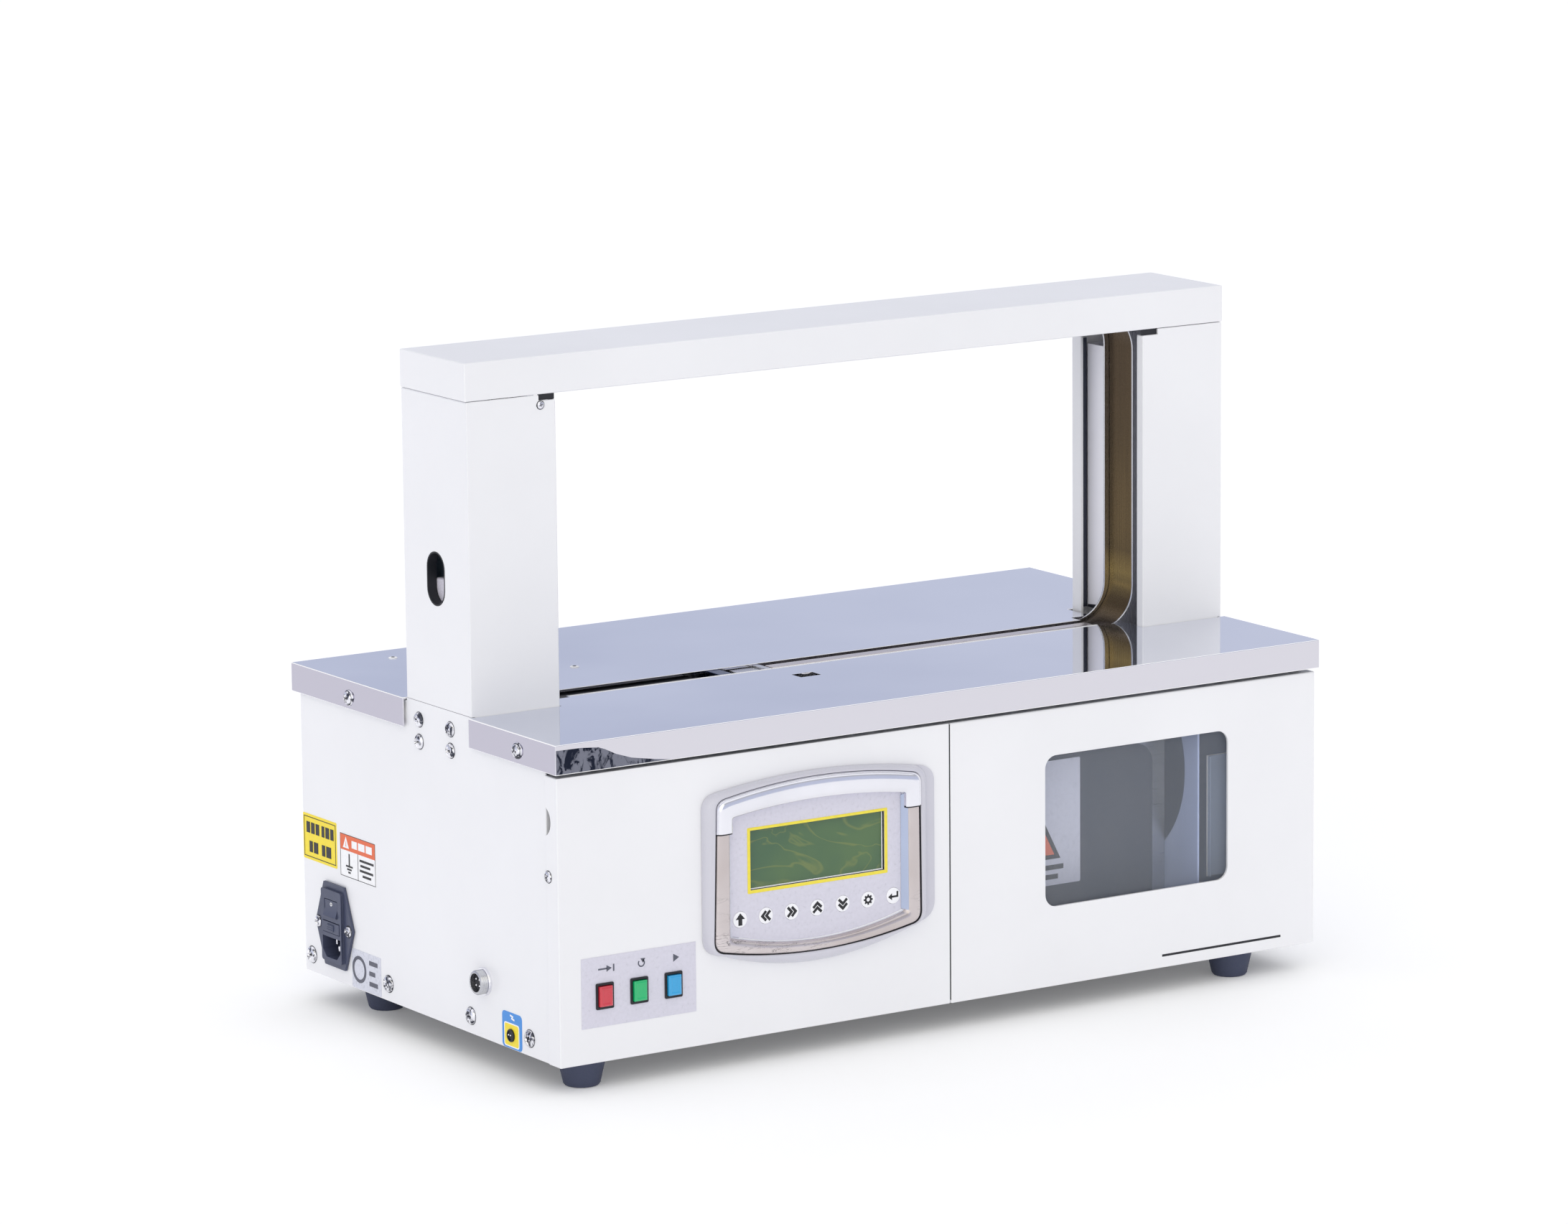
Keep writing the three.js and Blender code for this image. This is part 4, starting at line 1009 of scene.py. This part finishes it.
def labels():
    """The left side's labels, from the rear to the front, with bars and plain signs in place of words."""
    n1, n2 = LEFT_FACE + 0.25, LEFT_FACE + 0.4
    film, ink = (LEFT_FACE - 0.1, n1), (n1 - 0.05, n2)
    Piece("left").slab(rounded(-340.7, -294.5, 99, 131, 0.8, 3), *film).make(
        "supply_label", "yellow_ink")
    p = Piece("left")
    p.sheet(box(-339.4, -295.8, 100.9, 129.2), [box(-338.9, -296.3, 101.4, 128.7)], *ink)
    bars(p, -336, -298.5, 104.5, 125.5, 2, 5.5, *ink,
         [[(0, 0.13), (0.17, 0.30), (0.34, 0.47), (0.56, 0.66), (0.70, 0.84), (0.88, 1)],
          [(0.10, 0.22), (0.26, 0.42), (0.56, 0.68), (0.72, 0.90)]])
    p.make("supply_label_bars", "black_ink")

    Piece("left").slab(rounded(-290, -241, 95.5, 126.5, 0.8, 3), *film).make(
        "safety_label", "white_ink")
    Piece("left").slab(box(-289.2, -241.8, 114.6, 125.6), n1 - 0.05, n1 + 0.1).make(
        "safety_label_header", "orange_ink")
    p = Piece("left")
    triangle = [(-285.6, 116.2), (-277.4, 116.2), (-281.5, 124.2)]
    p.sheet(triangle, [[(-282.0, 117.2), (-281.0, 117.2), (-281.3, 120.9), (-281.7, 120.9)]], n1 + 0.05, n2)
    bars(p, -273.5, -246, 117.4, 122.6, 1, 0, n1 + 0.05, n2, [[(0, 0.26), (0.32, 0.64), (0.70, 1)]])
    p.make("safety_label_sign", "white_ink")
    p = Piece("left")
    p.sheet(box(-289.4, -241.6, 96.1, 125.8), [box(-289.0, -242.0, 96.5, 125.4)], n1 - 0.05, n1 + 0.12)
    p.slab(box(-265.6, -265.2, 96.4, 114.6), *ink)
    p.slab(box(-278.1, -276.6, 104.2, 112.6), *ink)
    for half, v in ((4.6, 103.2), (3.0, 101.1), (1.6, 99.0)):
        p.slab(box(-277.35 - half, -277.35 + half, v, v + 1.2), *ink)
    bars(p, -263, -244, 99.5, 111.5, 4, 1.9, *ink, [[(0, 1)], [(0.05, 0.75)], [(0, 0.95)], [(0.2, 0.8)]])
    p.make("safety_label_marks", "black_ink")

    Piece("left").slab(rounded(-276.5, -237.0, 20.4, 47.4, 0.8, 3), *film).make(
        "plain_label", "silver_film")
    p = Piece("left")
    p.sheet(circle(-266.4, 34.0, 9.4, 40), [circle(-266.4, 34.0, 7.0, 40)], *ink)
    bars(p, -252.8, -241.5, 25.2, 42.8, 3, 4.2, *ink, [[(0, 1)], [(0, 0.7)], [(0, 1)]])
    p.make("plain_label_marks", "grey_ink")

    Piece("left").slab(rounded(-77, -52, 20.2, 44.5, 3.0, 5), *film).make("service_label", "blue_ink")
    Piece("left").slab(rounded(-74.4, -55.2, 21.2, 37.4, 2.0, 5), n1 - 0.05, n1 + 0.12).make(
        "service_label_white", "white_ink")
    Piece("left").slab(rounded(-73.6, -56.0, 22.0, 36.6, 1.6, 5), n1 + 0.05, n2).make(
        "service_label_yellow", "yellow_ink")
    p = Piece("left")
    p.slab(stroke([(-66.6, 42.6), (-63.4, 42.0), (-64.4, 40.6), (-61.2, 40.0)], 1.1), *ink)
    p.make("service_label_mark", "white_ink")
    p = Piece("left")
    c = (-65.2, 29.2)
    p.turned(c, [(4.4, n1), (4.4, n2 + 0.9), (4.0, n2 + 1.3), (3.3, n2 + 1.3), (3.1, n2 + 0.5),
                 (0.02, n2 + 0.5)], 28)
    p.make("service_socket", "dark_gap", smooth=40)
    p = Piece("left")
    for side in (-1.25, 1.25):
        p.turned((c[0] + side, c[1] + 0.4), [(0.55, n2 + 0.4), (0.55, n2 + 1.5), (0.3, n2 + 1.8)], 10)
    p.make("service_socket_pins", "chrome", smooth=40)


labels()


# ---- mains inlet and foot switch connector
def inlet():
    """The mains inlet's face, contacts, drawer grip and switch marks."""
    y, z = 296.8, 59.0
    face = 1.3
    p = Piece("left")
    rocker_hole = rounded(-y - 9.1, -y + 9.1, z + 6.3, z + 18.5, 0.8, 3)
    drawer_hole = rounded(-y - 11.6, -y + 11.6, z - 5.1, z + 3.1, 0.5, 3)
    socket = [(-y - 12, z - 8), (-y - 12, z - 17.5), (-y - 7, z - 22.5),
              (-y + 7, z - 22.5), (-y + 12, z - 17.5), (-y + 12, z - 8)]
    p.sheet(rounded(-y - 13.6, -y + 13.6, z - 25.2, z + 25.2, 1.8, 4), [rocker_hole, drawer_hole, socket],
            face - 0.2, face + 0.35)
    p.make("inlet_face", "black_plastic", bevel=0.25)
    p = Piece("left")
    for du, dv in ((-3.6, -12.2), (3.6, -12.2), (0, -16.6)):
        p.slab(rounded(-y + du - 1.0, -y + du + 1.0, z + dv - 2.0, z + dv + 2.0, 0.4, 3), -19.0, -4.0, 0.5)
    p.make("inlet_pins", "chrome", bevel=0.15)
    p = Piece("left")
    p.slab(rounded(-y - 4.2, -y + 4.2, z - 3.4, z + 1.4, 0.6, 3), 2.0, 2.9, 0.3)
    for k in range(3):
        p.slab(box(-y - 3.4, -y + 3.4, z - 2.6 + k * 1.5, z - 2.1 + k * 1.5), 2.8, 3.2)
    p.make("fuse_drawer_grip", "black_plastic", "fuse_drawer", bevel=0.15)
    ring_centre = (-y + 0.4, z + 15.4)
    Piece("left").slab(box(-y - 0.2, -y + 0.3, z + 8.6, z + 10.6), 1.0, 1.4).make(
        "rocker_mark_on", "white_ink", "power_rocker")
    Piece("left").sheet(circle(*ring_centre, 1.3, 24), [circle(*ring_centre, 0.85, 24)], 1.3, 1.7).make(
        "rocker_mark_off", "white_ink", "power_rocker")


def connector_details():
    """The foot switch connector's thread, insert, pins and washer."""
    c = (-99.0, 59.0)
    sides = 40

    def ring(r, n):
        return [(u, v, n) for u, v in circle(*c, r, sides)]

    turns = [(8.3 if k % 2 else 7.96, -1.0 + 0.4 * k) for k in range(12)]
    rings = [ring(r, n) for r, n in turns + [(7.96, 3.8), (7.5, 4.4), (6.4, 4.4), (6.4, -0.9)]]
    Piece("left").loops(rings + rings[:1], cap_first=False, cap_last=False).make(
        "connector_thread", "steel", smooth=60)
    Piece("left").turned(c, [(6.35, -1.9), (6.35, 1.0), (6.1, 1.3)], 32).make(
        "connector_insert", "dark_gap", smooth=40)
    p = Piece("left")
    for k in range(4):
        a = radians(45 + 90 * k)
        centre = (c[0] + 3.0 * cos(a), c[1] + 3.0 * sin(a))
        p.turned(centre, [(0.65, 1.1), (0.65, 2.4), (0.3, 2.8)], 12)
    p.make("connector_pins", "chrome", smooth=40)
    Piece("left").turned(c, [(9.5, -3.0), (9.5, -1.2), (9.2, -0.8), (8.1, -0.8)], 40).make(
        "connector_washer", "chrome", smooth=40)


inlet()
connector_details()


# ---- arch details
def arch_details():
    """Corner seals, and what shows in the left post's hand slot."""
    # blackened inner corners between the posts and the beam
    p = Piece("front")
    p.slab(box(58.6, 71.0, 440.9, 444.9), -112.4, -111.6)
    p.slab(box(549.0, 561.4, 440.9, 444.9), -112.4, -111.6)
    p.make("arch_corner_seals", "dark_gap")
    # a dark lining behind the post's hand slot, and the pale catch that shows in its lower half
    p = Piece("left")
    hole = rounded(-163.9, -142.7, 304.3, 338.9, 10.6, 8)
    p.sheet(rounded(-164.9, -141.7, 303.3, 339.9, 11.5, 8), [hole], -9.7, -2.85)
    p.make("hand_slot_grommet", "dark_gap", bevel=0.2)
    p = Piece("left")
    p.slab(rounded(-192.6, -142, 290, 354, 2, 3), -22.0, -20.5, 0.3)
    p.slab(box(-192.6, -191.4, 290, 354), -21.0, -5.6, 0.3)
    p.make("hand_slot_lining", "slate")
    p = Piece("left")
    catch = [(-169.0, 292.0), (-150.0, 292.0), (-150.0, 321.0), (-165.2, 320.0), (-169.0, 316.4)]
    p.slab(catch, -20.6, -10.0, 0.8)
    p.make("hand_slot_catch", "pale_catch")


def table_details():
    """Two studs, and in the tape slot the lips painted white as highlights, a liner and floor painted dark as
    shade, and the runner.
    """
    studs = ((149, 219), (64.3, 319.6))
    p = Piece("top")
    for x, y in studs:
        p.turned((x, y), [(3.2, 234.9), (3.2, 235.3), (2.6, 235.7)], 24)
    p.make("table_studs", "white_ink", smooth=40)
    p = Piece("top")
    for x, y in studs:
        p.turned((x, y), [(1.3, 235.5), (1.3, 235.85)], 16)
    p.make("table_stud_sockets", "dark_gap", smooth=40)
    # painted highlights: white strips on the slot's two lips
    for name, low, high, front, back in (("slot_lip", 234.9, 235.1, 133.6, 136.4),
                                         ("slot_rear_lip", 234.9, 235.06, 156.1, 157.3)):
        Piece("top").slab(box(93, 527, front, back), low, high, 0.05).make(name, "white_ink", smooth=0)
    # painted shade: the dark liner and floor deep in the slot
    for name, look, outline, low, high, chamfer in (
            ("slot_liner", "dark_gap", box(92, 202.4, 134.5, 164.5), 231.4, 231.75, 0.1),
            ("slot_floor", "dark_gap", box(259, 527, 134.5, 158.0), 231.4, 231.8, 0.15),
            ("slot_runner", "warm_chrome", box(259, 527, 139.8, 149.6), 231.7, 234.6, 0.3)):
        Piece("top").slab(outline, low, high, chamfer).make(name, look)
    p = Piece("top")
    p.slab(box(254.8, 270.7, 98.3, 109.7), 222.0, 231.5, 0.3)
    p.make("sensor_block", "dark_gap", bevel=0.2)


def skirt_reflection():
    """A painted reflection: the dark room drawn in streaks on a film at the front plate's left end."""
    outline = [(0.8, 215.6), (88.0, 215.6), (76.0, 217.2), (58.0, 220.4), (46.0, 224.4),
               (38.0, 228.4), (33.0, 230.2), (20.0, 231.4), (0.8, 231.6)]
    Piece("front").slab(outline, -0.02, 0.05).make("skirt_reflection", "smoked_chrome", smooth=0)


def bracket_foot():
    """Painted shade: a dark film over the foot of the right-hand bracket, and a dark strip in the gap along
    the bracket's edge.
    """
    p = Piece("left")
    p.slab([(-186.4, 237.2), (-168.4, 237.2), (-168.4, 240.8), (-186.4, 239.0)], -556.45, -556.3)
    p.make("bracket_foot_shade", "dark_gap", smooth=0)
    Piece("front").slab(box(551.0, 556.3, 237.2, 430.0), -187.7, -187.3).make(
        "bracket_gap_strip", "grey_paint", smooth=0)


def front_lines():
    """Dark strips of painted shade in the seam between cover and door, and along the door's hem above the
    pan.
    """
    Piece("front").slab(box(309.9, 310.9, 22, 211.5), -6.0, -2.75).make("seam_strip", "dark_gap", smooth=0)
    Piece("front").slab(box(487, 589, 27.3, 28.9), -2.6, -2.42).make(
        "door_hem_line", "dark_gap", "door", smooth=0)


arch_details()
table_details()
skirt_reflection()
bracket_foot()
front_lines()


# ---- inside the window
def window_details():
    """What shows behind the pane: the guard's label and screws, the bay's lining, and the pane's seal."""
    n = -39.8
    Piece("front").slab(rounded(350.0, 444.3, 79.7, 167.0, 1.0, 3), n - 0.1, n + 0.25).make(
        "guard_label", "pale_film")
    Piece("front").slab([(389.3, 99.8), (424.7, 99.8), (407.0, 134.8)], n + 0.2, n + 0.42).make(
        "guard_label_sign", "orange_ink")
    p = Piece("front")
    outer = [(386.6, 98.2), (427.4, 98.2), (407.0, 138.0)]
    inner = [(391.6, 101.2), (422.4, 101.2), (407.0, 131.4)]
    p.sheet(outer, [inner], n + 0.35, n + 0.55)
    p.slab([(406.0, 109), (408.0, 109), (409.0, 122), (405.0, 122)], n + 0.35, n + 0.6)
    p.slab(circle(407, 105.6, 1.5, 16), n + 0.35, n + 0.6)
    bars(p, 384, 430, 84, 94, 2, 3.2, n + 0.2, n + 0.45, [[(0, 1)], [(0.1, 0.9)]])
    p.make("guard_label_marks", "black_ink")
    group = Screws("front")
    for x, z in ((335, 40), (335, 60), (495, 40)):
        group.add((x, z), 3.2, n - 0.2, 1.4, 0.3 + x)
    group.make("guard_screws")
    Piece("left").slab(rounded(-322, -66, 40, 205, 6, 4), -615.15, -614.0, 0.4).make("bay_liner", "bay_blue")
    p = Piece("front")
    p.slab(rounded(546.3, 613.4, 71.4, 156.6, 1.5, 3), -30.02, -29.6, 0.15)
    p.slab(box(546.3, 547.6, 71.4, 156.6), -29.7, -27.4, 0.2)
    p.make("bay_bracket_face", "bracket_blue")
    p = Piece("back")
    outer = rounded(-555, -376.8, 63, 192, 12, 6)
    inner = rounded(-549, -382.8, 69, 186, 10, 6)
    p.sheet(outer, [inner], 4.7, 9.2)
    p.make("pane_seal", "dark_gap", "door", bevel=0.3)


window_details()
